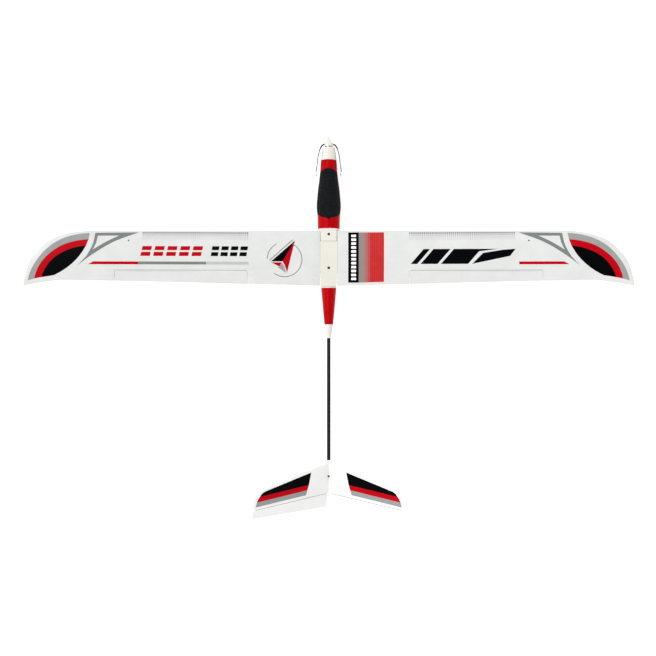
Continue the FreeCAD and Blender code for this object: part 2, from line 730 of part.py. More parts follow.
def hex_nut(name, y):
    """Hexagonal nut seated under the saddle."""
    nut = doc.addObject("Part::Prism", name)
    nut.Polygon = 6
    nut.setExpression("Circumradius", "Dims.bolt_radius * 1.75")
    nut.setExpression("Height", "2.8")
    nut.setExpression(".Placement.Base.y", y)
    nut.setExpression(".Placement.Base.z", "Dims.seat_z - 7.9")
    hole = cylinder(name + "Hole", "Dims.bolt_radius + Dims.fit_gap", "6", "0", y, "Dims.seat_z - 9")
    return cut(name + "Bored", nut, hole)


node(compound("WingNuts", [hex_nut("NutFront", "Dims.bolt_front_y"), hex_nut("NutRear", "Dims.bolt_rear_y")]),
     "wing_nuts")

centre = surface([(x, LEAD, TRAIL - 1.0, dim("wing_chord_z") + 0.2, THICK * 1.02, CAMBER) for x in (-25.3, 25.3)])
centre_plan = [Vector(-25.3, 242.0, 0), Vector(25.3, 242.0, 0), Vector(25.3, 150.0, 0), Vector(20.5, 90.0, 0),
               Vector(-20.5, 90.0, 0), Vector(-25.3, 150.0, 0)]
centre = centre.common(prism(centre_plan, Vector(0, 0, 200)))
centre = centre.cut(solid_box(-60, 0, 0, 60, 300, dim("seat_z") + 0.1))
for tool in (spar_bore, peg_bore):
    centre = centre.cut(tool).cut(tool.mirror(Vector(0, 0, 0), X_AXIS))
rear_bolt = Vector(0, dim("bolt_rear_y"), 0)
centre = centre.cut(Part.makeCylinder(dim("bolt_radius") + 0.1, 200, rear_bolt, Z_AXIS))
centre_top = foil_height(dim("bolt_rear_y"), LEAD, TRAIL - 1.0, dim("wing_chord_z") + 0.2, THICK * 1.02, CAMBER)
rear_head_z = centre_top - 1.6
centre = centre.cut(Part.makeCylinder(dim("bolt_head_radius") + 0.2, 50, rear_bolt + Vector(0, 0, rear_head_z), Z_AXIS))
node(freeform("Centre", one_solid(centre)), "wing_center_section")

block = doc.addObject("PartDesign::Body", "FrontBlock")
profile = new_sketch(block, "BlockSide", "YZ_Plane")
add_polygon(profile, [("242.3", "Dims.seat_z + 0.1"), ("Dims.seat_front_y - 0.4", "Dims.seat_z + 0.1"),
                      ("Dims.seat_front_y - 0.4", "75.6"), ("268", "80"), ("255", "82.6"), ("242.3", "83.6")])
pad(block, profile, "48", symmetric=True)
bore = new_sketch(block, "BlockBore", "XY_Plane", "75")
add_circle(bore, "0", "Dims.bolt_front_y", "Dims.bolt_radius + 0.1")
pocket(block, bore, "60")
groove = new_sketch(block, "SparGroove", "YZ_Plane")
add_polygon(groove, rectangle("Dims.spar_y", "69", "Dims.spar_y + Dims.spar_outer / 2 + 0.6", "78"))
pocket(block, groove, "60")
sink = new_sketch(block, "BlockSink", "XY_Plane", "84.2")
add_circle(sink, "0", "Dims.bolt_front_y", "Dims.bolt_head_radius + 0.2")
pocket(block, sink, "8")
edges = ["Edge%d" % (index + 1) for index, edge in enumerate(block.Shape.Edges)
         if abs(edge.BoundBox.XMax - edge.BoundBox.XMin) < 0.01 and edge.BoundBox.ZMin > 75
         and abs(abs(edge.BoundBox.XMax) - 24) < 0.01 and edge.BoundBox.YMax > 246]
last_cut = block.Tip
soft = block.newObject("PartDesign::Fillet", "BlockSoft")
soft.Base = (last_cut, edges)
soft.Radius = 3.0
node(block, "wing_front_block")


def wing_bolt(name, y, seat):
    """Countersunk-seat socket bolt: head, shank and hexagon recess."""
    head = cylinder(name + "Head", "Dims.bolt_head_radius", "2.4", "0", y, seat)
    shank = cylinder(name + "Shank", "Dims.bolt_radius", "%s - (Dims.seat_z - 7.6)" % seat, "0", y,
                     "Dims.seat_z - 7.6")
    recess = doc.addObject("Part::Prism", name + "Recess")
    recess.Polygon = 6
    recess.setExpression("Circumradius", "Dims.bolt_radius * 0.85")
    recess.setExpression("Height", "3")
    recess.setExpression(".Placement.Base.y", y)
    recess.setExpression(".Placement.Base.z", "%s + 0.9" % seat)
    return cut(name, fuse(name + "Blank", [head, shank]), recess)


node(compound("WingBolts", [wing_bolt("BoltFront", "Dims.bolt_front_y", "80.25"),
                            wing_bolt("BoltRear", "Dims.bolt_rear_y", "%.3f" % (rear_head_z + 0.05))]),
     "wing_bolts")

# ---------------------------------------------------------------------------
# Boom and tail mount
# ---------------------------------------------------------------------------
boom = doc.addObject("PartDesign::Body", "Boom")
profile = new_sketch(boom, "BoomWall", "XY_Plane")
add_polygon(profile, rectangle("Dims.boom_inner / 2", "Dims.boom_rear_y", "Dims.boom_outer / 2", "Dims.boom_front_y"))
revolve(boom, profile)
place_z(boom, "Dims.boom_z")
node(boom, "tail_boom")

collar = doc.addObject("PartDesign::Body", "Collar")
profile = new_sketch(collar, "CollarWall", "XY_Plane")
add_polygon(profile, rectangle("Dims.boom_outer / 2 + Dims.fit_gap", "26", "10.8", "34"))
revolve(collar, profile)
place_z(collar, "Dims.boom_z")
node(collar, "boom_collar")

mount = doc.addObject("PartDesign::Body", "TailMount")
profile = new_sketch(mount, "MountFace", "XZ_Plane", "450")
add_polygon(profile, [("-8", "48.6"), ("8", "48.6"), ("8", "60"), ("15", "71.5"), ("15", "75.4"), ("0", "64.6"),
                      ("-15", "75.4"), ("-15", "71.5"), ("-8", "60")])
pad(mount, profile, "76", symmetric=True)
bore = new_sketch(mount, "MountBore", "XZ_Plane", "450")
add_circle(bore, "0", "Dims.boom_z", "Dims.boom_outer / 2 + Dims.fit_gap")
pocket(mount, bore, "90")
bore = new_sketch(mount, "MountScrew", "XY_Plane", "64")
add_circle(bore, "0", "Dims.tail_screw_y", "1.55")
pocket(mount, bore, "8")
node(mount, "tail_mount")

screw_head = cylinder("TailScrewHead", "3", "1.8", "0", "Dims.tail_screw_y", "76.1")
screw_shank = cylinder("TailScrewShank", "1.5", "14.2", "0", "Dims.tail_screw_y", "61.9")
node(fuse("TailScrew", [screw_head, screw_shank]), "tail_screw")

# ---------------------------------------------------------------------------
# Motor, spinner and folding propeller
# ---------------------------------------------------------------------------
firewall = doc.addObject("PartDesign::Body", "Firewall")
profile = new_sketch(firewall, "FirewallDisc", "XY_Plane")
add_polygon(profile, rectangle("4.2", "Dims.nose_y - 0.5 - Dims.firewall_thick", "Dims.firewall_radius - 0.05",
                               "Dims.nose_y - 0.5"))
revolve(firewall, profile)
place_z(firewall, "Dims.thrust_z")
screw_spots = [("6.6", "6.6"), ("-6.6", "6.6"), ("-6.6", "-6.6"), ("6.6", "-6.6")]
holes = new_sketch(firewall, "FirewallHoles", "XZ_Plane", "-Dims.nose_y")
for x, z in screw_spots:
    add_circle(holes, x, z, "1.55")
pocket(firewall, holes, "20")
node(firewall, "firewall")

screws = []
for index, (x, z) in enumerate(screw_spots):
    tag = "MotorScrew%d" % index
    height = "Dims.thrust_z + (%s)" % z
    shank = cylinder(tag + "Shank", "1.5", "5.5", x, "Dims.nose_y - 6", height, "y")
    head = cylinder(tag + "Head", "2.6", "1.1", x, "Dims.nose_y - 0.5", height, "y")
    screws.append(fuse(tag, [shank, head]))
node(compound("MotorScrews", screws), "motor_screws")

stator = doc.addObject("PartDesign::Body", "Stator")
profile = new_sketch(stator, "StatorSide", "XY_Plane")
add_polygon(profile, [("Dims.shaft_radius + Dims.fit_gap", "516.5"), ("12.6", "516.5"), ("12.6", "Dims.nose_y - 3.6"),
                      ("Dims.shaft_radius + Dims.fit_gap", "Dims.nose_y - 3.6")])
revolve(stator, profile)
place_z(stator, "Dims.thrust_z")
holes = new_sketch(stator, "StatorHoles", "XZ_Plane", "-Dims.nose_y")
for x, z in screw_spots:
    add_circle(holes, x, z, "1.55")
pocket(stator, holes, "40")
node(stator, "motor_stator")

can = doc.addObject("PartDesign::Body", "Can")
profile = new_sketch(can, "CanSide", "XY_Plane")
add_polygon(profile, [("0", "488.5"), ("11", "488.5"), ("Dims.motor_radius", "491.5"), ("Dims.motor_radius", "515.9"),
                      ("Dims.shaft_radius", "515.9"), ("Dims.shaft_radius", "542.5"), ("0", "542.5")])
revolve(can, profile)
place_z(can, "Dims.thrust_z")
node(can, "motor_can")

plate = doc.addObject("PartDesign::Body", "Backplate")
profile = new_sketch(plate, "PlateSide", "XY_Plane")
add_polygon(profile, rectangle("Dims.shaft_radius + Dims.fit_gap", "Dims.spinner_base_y - 1.5",
                               "Dims.spinner_radius", "Dims.spinner_base_y"))
revolve(plate, profile)
slots = new_sketch(plate, "PlateSlots", "XY_Plane")
add_polygon(slots, rectangle("5.6", "525", "16", "535"))
add_polygon(slots, rectangle("-16", "525", "-5.6", "535"))
pocket(plate, slots, "Dims.slot_width")
place_z(plate, "Dims.thrust_z")
node(plate, "spinner_backplate")

cone = doc.addObject("PartDesign::Body", "Cone")
profile = new_sketch(cone, "ConeSide", "XY_Plane")
base = "Dims.spinner_base_y + 0.05"
add_polygon(profile, [("Dims.spinner_radius", base), ("Dims.spinner_radius - 1.2", base), ("12.2", "534.5"),
                      ("11", "539.5"), ("9", "544.8"), ("6.6", "549.3"), ("3.6", "553.2"), ("0", "555.6"),
                      ("0", "Dims.spinner_tip_y"), ("2.6", "557"), ("5.4", "554.4"), ("8.2", "550.3"),
                      ("10.4", "545.5"), ("12.2", "540"), ("13.4", "534.5")])
revolve(cone, profile)
slots = new_sketch(cone, "ConeSlots", "XY_Plane")
add_polygon(slots, rectangle("5.6", "525", "16", "555"))
add_polygon(slots, rectangle("-16", "525", "-5.6", "555"))
pocket(cone, slots, "Dims.slot_width")
place_z(cone, "Dims.thrust_z")
node(cone, "spinner_cone")

yoke_core = solid_box(-4.9, 532.9, dim("thrust_z") - 4.4, 4.9, 540.1, dim("thrust_z") + 4.4)
half_root = dim("blade_root_thick") / 2
yoke = yoke_core
for side in (-1, 1):
    for low in (half_root + 0.35, -half_root - 2.35):
        near, far = sorted((side * 4.5, side * 13.4))
        yoke = yoke.fuse(solid_box(near, 532.9, dim("thrust_z") + low, far, 540.1, dim("thrust_z") + low + 2.0))
    spot = Vector(side * dim("blade_pin_x"), dim("blade_pin_y"), dim("thrust_z") - 10)
    yoke = yoke.cut(Part.makeCylinder(dim("blade_pin_radius") + 0.02, 20, spot, Z_AXIS))
shaft_hole = Part.makeCylinder(dim("shaft_radius") + 0.05, 40, Vector(0, 520, dim("thrust_z")), Y_AXIS)
node(freeform("Yoke", one_solid(yoke.removeSplitter().cut(shaft_hole))), "blade_yoke")

pins = []
for tag, x in (("PinLeft", "-Dims.blade_pin_x"), ("PinRight", "Dims.blade_pin_x")):
    pins.append(cylinder(tag, "Dims.blade_pin_radius", "9.2", x, "Dims.blade_pin_y", "Dims.thrust_z - 4.6"))
node(compound("BladePins", pins), "blade_pins")

# Folded blade: plan position, chord, thickness and twist from upright, root to tip.
BLADE_STATIONS = [
    (11.6, 536.5, 3.6, 4.4, 0.0),
    (14.8, 535.8, 4.4, 4.6, 0.0),
    (18.6, 533.6, 6.6, 5.0, 0.0),
    (22.2, 529.6, 9.0, 4.8, 2.0),
    (25.0, 524.0, 11.0, 4.2, 4.0),
    (27.6, 515.5, 13.5, 3.2, 6.0),
    (30.2, 503.0, 16.5, 2.4, 8.0),
    (32.3, 489.0, 18.0, 1.9, 8.0),
    (34.4, 471.0, 17.0, 1.6, 8.0),
    (36.2, 454.0, 12.5, 1.3, 7.0),
    (37.5, 438.6, 4.0, 0.9, 6.0),
]


def blade_section(index):
    """Closed lens-shaped section of the blade, square to its path."""
    x, y, chord, thick, twist = BLADE_STATIONS[index]
    before = BLADE_STATIONS[max(index - 1, 0)]
    after = BLADE_STATIONS[min(index + 1, len(BLADE_STATIONS) - 1)]
    tangent = Vector(after[0] - before[0], after[1] - before[1], 0).normalize()
    outward = Vector(-tangent.y, tangent.x, 0)
    turn = Rotation(tangent, twist)
    span = turn.multVec(Z_AXIS)
    normal = turn.multVec(outward)
    centre = Vector(x, y, dim("thrust_z"))
    points = []
    for step in range(16):
        angle = 2 * math.pi * step / 16
        bow = 0.05 * chord * (math.cos(angle) ** 2 - 0.5)
        points.append(centre + span * (chord / 2 * math.cos(angle)) + normal * (thick / 2 * math.sin(angle) - bow))
    curve = Part.BSplineCurve()
    curve.interpolate(points, PeriodicFlag=True)
    return Part.Wire([curve.toShape()])


blade = Part.makeLoft([blade_section(index) for index in range(len(BLADE_STATIONS))], True, False)
root_place = Vector(dim("blade_pin_x"), dim("blade_pin_y"), dim("thrust_z") - half_root)
blade = blade.fuse(Part.makeCylinder(dim("blade_root_radius"), dim("blade_root_thick"), root_place, Z_AXIS))
pin_hole = Part.makeCylinder(dim("blade_pin_radius") + 0.05, 20, root_place - Vector(0, 0, 8), Z_AXIS)
both_sides(freeform("Blade", one_solid(blade.cut(pin_hole))), "prop_blade")

# ---------------------------------------------------------------------------
# Check and write every sub-part
# ---------------------------------------------------------------------------
doc.recompute()
for item in doc.Objects:
    if "Invalid" in item.State or "Error" in item.State:
        raise RuntimeError("%s is %s" % (item.Label, item.State))
for item in nodes:
    if item.Shape.isNull() or not item.Shape.isValid():
        raise RuntimeError("%s has no valid shape" % item.Label)

os.makedirs("parts", exist_ok=True)
for item in nodes:
    item.Shape.exportStep("parts/%s.step" % item.Label)
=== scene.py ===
import math

import bmesh
import bpy
from mathutils import Matrix, Vector


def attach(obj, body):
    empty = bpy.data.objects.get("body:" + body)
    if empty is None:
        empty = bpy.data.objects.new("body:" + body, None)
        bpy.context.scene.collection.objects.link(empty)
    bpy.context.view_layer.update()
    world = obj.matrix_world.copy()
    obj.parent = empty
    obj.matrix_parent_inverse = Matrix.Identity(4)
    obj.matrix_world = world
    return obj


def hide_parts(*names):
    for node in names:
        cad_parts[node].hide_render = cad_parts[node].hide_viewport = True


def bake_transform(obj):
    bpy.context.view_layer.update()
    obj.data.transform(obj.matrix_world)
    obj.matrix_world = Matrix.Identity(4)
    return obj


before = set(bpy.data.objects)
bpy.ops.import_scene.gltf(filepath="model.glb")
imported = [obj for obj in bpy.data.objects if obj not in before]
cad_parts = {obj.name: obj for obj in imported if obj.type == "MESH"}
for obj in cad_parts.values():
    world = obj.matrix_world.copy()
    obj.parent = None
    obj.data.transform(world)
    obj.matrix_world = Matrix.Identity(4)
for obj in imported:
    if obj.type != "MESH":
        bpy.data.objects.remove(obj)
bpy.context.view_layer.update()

MM = 0.001
DIHEDRAL = math.radians(2.5)
TAIL_ANGLE = math.radians(36.0)
WING_ROOT_Z = 70.0
TAIL_APEX_Z = 70.0
PROPELLER_Z = 42.0
BOOM_Z = 56.0

# ---------------------------------------------------------------------------
# Node material helpers
# ---------------------------------------------------------------------------


def srgb(red, green, blue):
    """Display colour from 0 to 255 as a linear colour."""
    def channel(value):
        value = value / 255.0
        return value / 12.92 if value <= 0.04045 else ((value + 0.055) / 1.055) ** 2.4
    return (channel(red), channel(green), channel(blue), 1.0)


class Shader:
    """A Principled material and short calls that add nodes to it."""

    def __init__(self, name, color, roughness, metallic=0.0, coat=0.0, specular=0.5):
        self.material = bpy.data.materials.new(name)
        self.material.use_nodes = True
        self.tree = self.material.node_tree
        self.bsdf = self.tree.nodes["Principled BSDF"]
        self.bsdf.inputs["Base Color"].default_value = color
        self.bsdf.inputs["Roughness"].default_value = roughness
        self.bsdf.inputs["Metallic"].default_value = metallic
        self.bsdf.inputs["Coat Weight"].default_value = coat
        self.bsdf.inputs["Coat Roughness"].default_value = 0.12
        self.bsdf.inputs["Specular IOR Level"].default_value = specular
        self.material.diffuse_color = color
        self.place = self.add("ShaderNodeTexCoord").outputs["Object"]

    def add(self, kind):
        return self.tree.nodes.new(kind)

    def link(self, source, target):
        self.tree.links.new(source, target)

    def stretched(self, scale, turn=(0.0, 0.0, 0.0)):
        """Object coordinates with their own scale on each axis."""
        mapping = self.add("ShaderNodeMapping")
        mapping.inputs["Scale"].default_value = scale
        mapping.inputs["Rotation"].default_value = turn
        self.link(self.place, mapping.inputs["Vector"])
        return mapping.outputs["Vector"]

    def noise(self, scale, detail=3.0, place=None, rough=0.55):
        node = self.add("ShaderNodeTexNoise")
        node.inputs["Scale"].default_value = scale
        node.inputs["Detail"].default_value = detail
        node.inputs["Roughness"].default_value = rough
        self.link(place or self.place, node.inputs["Vector"])
        return node.outputs["Fac"]

    def cells(self, scale, feature="F1", place=None):
        node = self.add("ShaderNodeTexVoronoi")
        node.feature = feature
        node.inputs["Scale"].default_value = scale
        self.link(place or self.place, node.inputs["Vector"])
        return node.outputs["Distance"]

    def math(self, kind, first, second=None, third=None, clamp=False):
        node = self.add("ShaderNodeMath")
        node.operation = kind
        node.use_clamp = clamp
        for socket, value in zip(node.inputs, (first, second, third)):
            if value is None:
                continue
            if isinstance(value, (int, float)):
                socket.default_value = value
            else:
                self.link(value, socket)
        return node.outputs[0]

    def axis(self, letter):
        node = self.add("ShaderNodeSeparateXYZ")
        self.link(self.place, node.inputs[0])
        return node.outputs[letter]

    def between(self, value, low, high, soft):
        """1 between two limits and 0 outside, with a soft edge."""
        rise = self.step(value, low, soft)
        fall = self.step(value, high, soft)
        return self.math("SUBTRACT", rise, fall, clamp=True)

    def step(self, value, edge, soft):
        node = self.add("ShaderNodeMapRange")
        node.inputs["From Min"].default_value = edge - soft
        node.inputs["From Max"].default_value = edge + soft
        self.link(value, node.inputs["Value"])
        return node.outputs["Result"]

    def ramp(self, value, stops):
        """Colours along a value: a list of (position, colour)."""
        node = self.add("ShaderNodeValToRGB")
        elements = node.color_ramp.elements
        while len(elements) < len(stops):
            elements.new(0.5)
        for element, (position, color) in zip(elements, stops):
            element.position = position
            element.color = color
        self.link(value, node.inputs["Fac"])
        return node.outputs["Color"]

    def mix(self, factor, first, second, blend="MIX"):
        """Mix of two colours, each a value or a socket; the factor is a number or a socket."""
        node = self.add("ShaderNodeMix")
        node.data_type = "RGBA"
        node.blend_type = blend
        if isinstance(factor, float):
            node.inputs["Factor"].default_value = factor
        else:
            self.link(factor, node.inputs["Factor"])
        for socket, value in ((node.inputs[6], first), (node.inputs[7], second)):
            if isinstance(value, tuple):
                socket.default_value = value
            else:
                self.link(value, socket)
        return node.outputs[2]

    def color(self, source):
        self.link(source, self.bsdf.inputs["Base Color"])

    def roughness(self, value, low, high):
        """Roughness that follows a texture between two values."""
        node = self.add("ShaderNodeMapRange")
        node.inputs["To Min"].default_value = low
        node.inputs["To Max"].default_value = high
        self.link(value, node.inputs["Value"])
        self.link(node.outputs["Result"], self.bsdf.inputs["Roughness"])

    def bump(self, height, distance, strength=1.0):
        """Surface relief, distance in metres."""
        node = self.add("ShaderNodeBump")
        node.inputs["Distance"].default_value = distance
        node.inputs["Strength"].default_value = strength
        self.link(height, node.inputs["Height"])
        self.link(node.outputs["Normal"], self.bsdf.inputs["Normal"])


def tint(color, factor):
    """The same colour made lighter or darker."""
    return tuple(min(1.0, value * factor) for value in color[:3]) + (1.0,)


def foam_material(name, color, shade=0.96):
    """Moulded bead foam: packed bead outlines, faint mottling and a satin skin."""
    foam = Shader(name, color, 0.55, specular=0.2)
    beads = foam.cells(330.0, "DISTANCE_TO_EDGE")
    mottle = foam.noise(22.0, 4.0)
    fine = foam.noise(900.0, 2.0)
    edge = foam.ramp(beads, [(0.0, tint(color, shade)), (0.12, color)])
    patch = foam.ramp(mottle, [(0.3, tint(color, 0.965)), (0.7, tint(color, 1.01))])
    veil = foam.mix(foam.math("MULTIPLY", mottle, 0.5), (1.0, 1.0, 1.0, 1.0), patch)
    foam.color(foam.mix(1.0, edge, veil, "MULTIPLY"))
    foam.roughness(mottle, 0.42, 0.6)
    foam.bump(foam.math("ADD", foam.math("MULTIPLY", beads, 2.2, clamp=True), foam.math("MULTIPLY", fine, 0.3)),
              0.00012, 0.6)
    return foam.material


def moulded_material(name, color, low=0.2, high=0.34, coat=0.3):
    """Moulded plastic: faint flow marks, orange peel and uneven gloss."""
    plastic = Shader(name, color, low, coat=coat, specular=0.25)
    flow = plastic.noise(14.0, 4.0)
    peel = plastic.noise(420.0, 2.0)
    plastic.color(plastic.ramp(flow, [(0.3, tint(color, 0.965)), (0.7, tint(color, 1.015))]))
    plastic.roughness(flow, low, high)
    plastic.bump(peel, 0.00004, 0.5)
    return plastic.material


def vinyl_material(name, color, low=0.3, high=0.42):
    """Printed vinyl decal: nearly even ink over a slightly wavy film."""
    vinyl = Shader(name, color, low, specular=0.03)
    wave = vinyl.noise(60.0, 3.0)
    grain = vinyl.noise(1500.0, 1.0)
    vinyl.color(vinyl.ramp(wave, [(0.3, tint(color, 0.93)), (0.7, tint(color, 1.05))]))
    vinyl.roughness(wave, low, high)
    vinyl.bump(grain, 0.00003, 0.5)
    return vinyl.material


def metal_material(name, color, roughness, scale=(300.0, 300.0, 2000.0)):
    """Brushed or turned metal with fine drawn lines."""
    metal = Shader(name, color, roughness, metallic=1.0)
    lines = metal.noise(1.0, 3.0, metal.stretched(scale))
    metal.color(metal.ramp(lines, [(0.3, tint(color, 0.8)), (0.7, tint(color, 1.15))]))
    metal.roughness(lines, roughness * 0.8, roughness * 1.3)
    metal.bump(lines, 0.00003, 0.6)
    return metal.material


WHITE = srgb(212, 213, 211)
# The tail foam is the same foam as the wing, painted lighter: painted light standing in for brighter light on the
# tail panels.
TAIL_WHITE_PAINTED_LIGHT = srgb(232, 232, 231)
SHELL_WHITE = srgb(214, 210, 203)
CREAM = srgb(209, 206, 197)
RED = srgb(172, 4, 18)
POD_RED = srgb(166, 1, 8)
BLACK = srgb(2, 3, 5)
DARK_GREY = srgb(114, 118, 118)
MID_GREY = srgb(141, 144, 142)
LIGHT_GREY = srgb(176, 178, 176)

foam_wing = foam_material("foam_wing", WHITE)
# Tail foam: wing foam with a lighter colour as painted light.
foam_tail_painted_light = foam_material("foam_tail_painted_light", TAIL_WHITE_PAINTED_LIGHT)
cream_plastic = moulded_material("cream_plastic", CREAM, 0.3, 0.45, 0.1)
white_gloss = moulded_material("white_gloss", SHELL_WHITE, 0.14, 0.24, 0.5)
black_plastic = moulded_material("black_plastic", srgb(24, 25, 27), 0.35, 0.5, 0.0)
blade_black = moulded_material("blade_black", srgb(12, 12, 13), 0.2, 0.3, 0.1)
white_plastic = moulded_material("white_plastic", srgb(236, 236, 232), 0.3, 0.45, 0.1)
vinyl_red = vinyl_material("vinyl_red", RED)
vinyl_black = vinyl_material("vinyl_black", BLACK)
vinyl_dark_grey = vinyl_material("vinyl_dark_grey", DARK_GREY)
vinyl_dots = vinyl_material("vinyl_dots", srgb(34, 36, 38))
vinyl_grey = vinyl_material("vinyl_grey", MID_GREY)
vinyl_light_grey = vinyl_material("vinyl_light_grey", LIGHT_GREY)
# Hinge strip colours: the grey and the near-black are painted shade in the aileron and tail hinge grooves, not the
# colour of the hinge.
hinge_groove_shade = vinyl_material("hinge_groove_shade", srgb(120, 122, 121))
tail_groove_shade = vinyl_material("tail_groove_shade", srgb(52, 53, 52))
vinyl_white = vinyl_material("vinyl_white", srgb(245, 245, 244))
steel = metal_material("steel", srgb(176, 178, 182), 0.3)
dark_steel = metal_material("dark_steel", srgb(72, 74, 78), 0.38)
motor_steel = metal_material("motor_steel", srgb(110, 112, 118), 0.32, (2000.0, 200.0, 2000.0))
aluminium = metal_material("aluminium", srgb(196, 198, 202), 0.3, (2000.0, 300.0, 2000.0))


# Lengths of the pod that are wrapped in red film, and the softness of their edges, in metres.
FILM_AHEAD = (0.281, 0.4875)
FILM_BEHIND = (-0.006, 0.1035)
FILM_EDGE = 0.0002


def pod_material():
    """White pod shell wrapped in red film ahead of and behind the wing."""
    pod = Shader("pod_shell", SHELL_WHITE, 0.3, specular=0.03)
    along = pod.axis("Y")
    ahead = pod.between(along, *FILM_AHEAD, FILM_EDGE)
    behind = pod.between(along, *FILM_BEHIND, FILM_EDGE)
    wrapped = pod.math("ADD", ahead, behind, clamp=True)
    flow = pod.noise(12.0, 4.0)
    white = pod.ramp(flow, [(0.3, tint(SHELL_WHITE, 0.95)), (0.7, SHELL_WHITE)])
    red = pod.ramp(flow, [(0.3, tint(POD_RED, 0.9)), (0.7, tint(POD_RED, 1.06))])
    pod.color(pod.mix(wrapped, white, red))
    pod.roughness(flow, 0.28, 0.42)
    peel = pod.noise(380.0, 2.0)
    film = pod.math("MULTIPLY", wrapped, 2.0)
    pod.bump(pod.math("ADD", pod.math("MULTIPLY", peel, 0.5), film), 0.00006, 0.6)
    return pod.material


def canopy_material():
    """Black moulded foam hatch with a coarse pebbled skin."""
    dark = srgb(16, 18, 20)
    skin = Shader("canopy_skin", dark, 0.7, specular=0.06)
    pebbles = skin.cells(420.0)
    fine = skin.noise(1100.0, 3.0)
    mottle = skin.noise(160.0, 4.0, rough=0.7)
    skin.color(skin.ramp(mottle, [(0.35, tint(dark, 0.5)), (0.6, tint(dark, 1.3)), (0.75, tint(dark, 2.4))]))
    skin.roughness(mottle, 0.55, 0.85)
    skin.bump(skin.math("ADD", skin.math("MULTIPLY", pebbles, -1.2), fine), 0.0005, 0.9)
    return skin.material


def carbon_material():
    """Wrapped carbon tube: a fine twill under a thin satin resin coat."""
    dark = srgb(21, 26, 28)
    tube = Shader("carbon_tube", dark, 0.4, coat=0.03, specular=0.1)
    checks = tube.add("ShaderNodeTexChecker")
    checks.inputs["Scale"].default_value = 1.0
    checks.inputs["Color1"].default_value = tint(dark, 1.35)
    checks.inputs["Color2"].default_value = tint(dark, 0.6)
    tube.link(tube.stretched((420.0, 420.0, 420.0), (0.6, 0.0, 0.785)), checks.inputs["Vector"])
    wear = tube.noise(70.0, 4.0)
    tube.color(tube.mix(tube.math("MULTIPLY", wear, 0.5), checks.outputs["Color"], dark))
    tube.roughness(wear, 0.25, 0.45)
    tube.bump(checks.outputs["Fac"], 0.00004, 0.5)
    return tube.material


def plywood_material():
    """Birch plywood with long fine grain."""
    birch = srgb(205, 174, 126)
    wood = Shader("plywood", birch, 0.6)
    grain = wood.noise(1.0, 5.0, wood.stretched((500.0, 24.0, 500.0)))
    wood.color(wood.ramp(grain, [(0.3, tint(birch, 0.7)), (0.7, tint(birch, 1.1))]))
    wood.bump(grain, 0.0001, 0.7)
    return wood.material


def webbing_material():
    """Woven hook and loop strap."""
    dark = srgb(26, 26, 28)
    cloth = Shader("strap_webbing", dark, 0.85)
    weave = cloth.add("ShaderNodeTexWave")
    weave.inputs["Scale"].default_value = 260.0
    weave.inputs["Distortion"].default_value = 1.5
    cloth.link(cloth.place, weave.inputs["Vector"])
    cloth.color(cloth.ramp(weave.outputs["Fac"], [(0.2, tint(dark, 0.6)), (0.8, tint(dark, 1.6))]))
    cloth.bump(weave.outputs["Fac"], 0.0003, 0.8)
    return cloth.material


def banner_material():
    """Printed panel that fades in fine bars from grey to red away from the root."""
    print_ink = Shader("banner_print", RED, 0.34, specular=0.1)
    span = print_ink.axis("X")
    fade = print_ink.step(span, 0.1135, 0.0125)
    bars = print_ink.add("ShaderNodeTexWave")
    bars.wave_profile = "TRI"
    bars.inputs["Scale"].default_value = 52.0
    print_ink.link(print_ink.place, bars.inputs["Vector"])
    teeth = print_ink.math("MULTIPLY_ADD", bars.outputs["Fac"], 0.3, -0.15)
    toothed = print_ink.math("ADD", fade, teeth, clamp=True)
    grey = print_ink.ramp(print_ink.step(span, 0.100, 0.012),
                          [(0.0, srgb(124, 125, 123)), (1.0, srgb(142, 124, 120))])
    wave = print_ink.noise(50.0, 3.0)
    red = print_ink.ramp(wave, [(0.3, srgb(174, 28, 30)), (0.7, srgb(188, 33, 35))])
    print_ink.color(print_ink.mix(toothed, grey, red))
    print_ink.roughness(wave, 0.3, 0.4)
    print_ink.bump(print_ink.noise(1500.0, 1.0), 0.00003, 0.5)
    return print_ink.material


pod_shell_material = pod_material()
canopy_skin = canopy_material()
carbon = carbon_material()
plywood = plywood_material()
webbing = webbing_material()
banner_print = banner_material()
battery_wrap = vinyl_material("battery_wrap", srgb(34, 60, 120))
circuit_wrap = vinyl_material("circuit_wrap", srgb(30, 80, 110))

# ---------------------------------------------------------------------------
# Mesh helpers.  Coordinates are given in millimetres and stored in metres.
# ---------------------------------------------------------------------------


def store(name, mesh_data, material, body):
    """Make an object from a bmesh and let it ride on a body."""
    mesh = bpy.data.meshes.new(name)
    mesh_data.to_mesh(mesh)
    mesh_data.free()
    piece = bpy.data.objects.new(name, mesh)
    bpy.context.scene.collection.objects.link(piece)
    mesh.materials.append(material)
    if body:
        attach(piece, body)
    return piece


def grid_solid(loops):
    """Closed solid through a row of equal loops of points in millimetres."""
    mesh = bmesh.new()
    rows = [[mesh.verts.new(Vector(point) * MM) for point in loop] for loop in loops]
    count = len(rows[0])
    for first, second in zip(rows[:-1], rows[1:]):
        for index in range(count):
            after = (index + 1) % count
            mesh.faces.new((first[index], first[after], second[after], second[index]))
    mesh.faces.new(list(reversed(rows[0])))
    mesh.faces.new(rows[-1])
    bmesh.ops.recalc_face_normals(mesh, faces=mesh.faces)
    return mesh


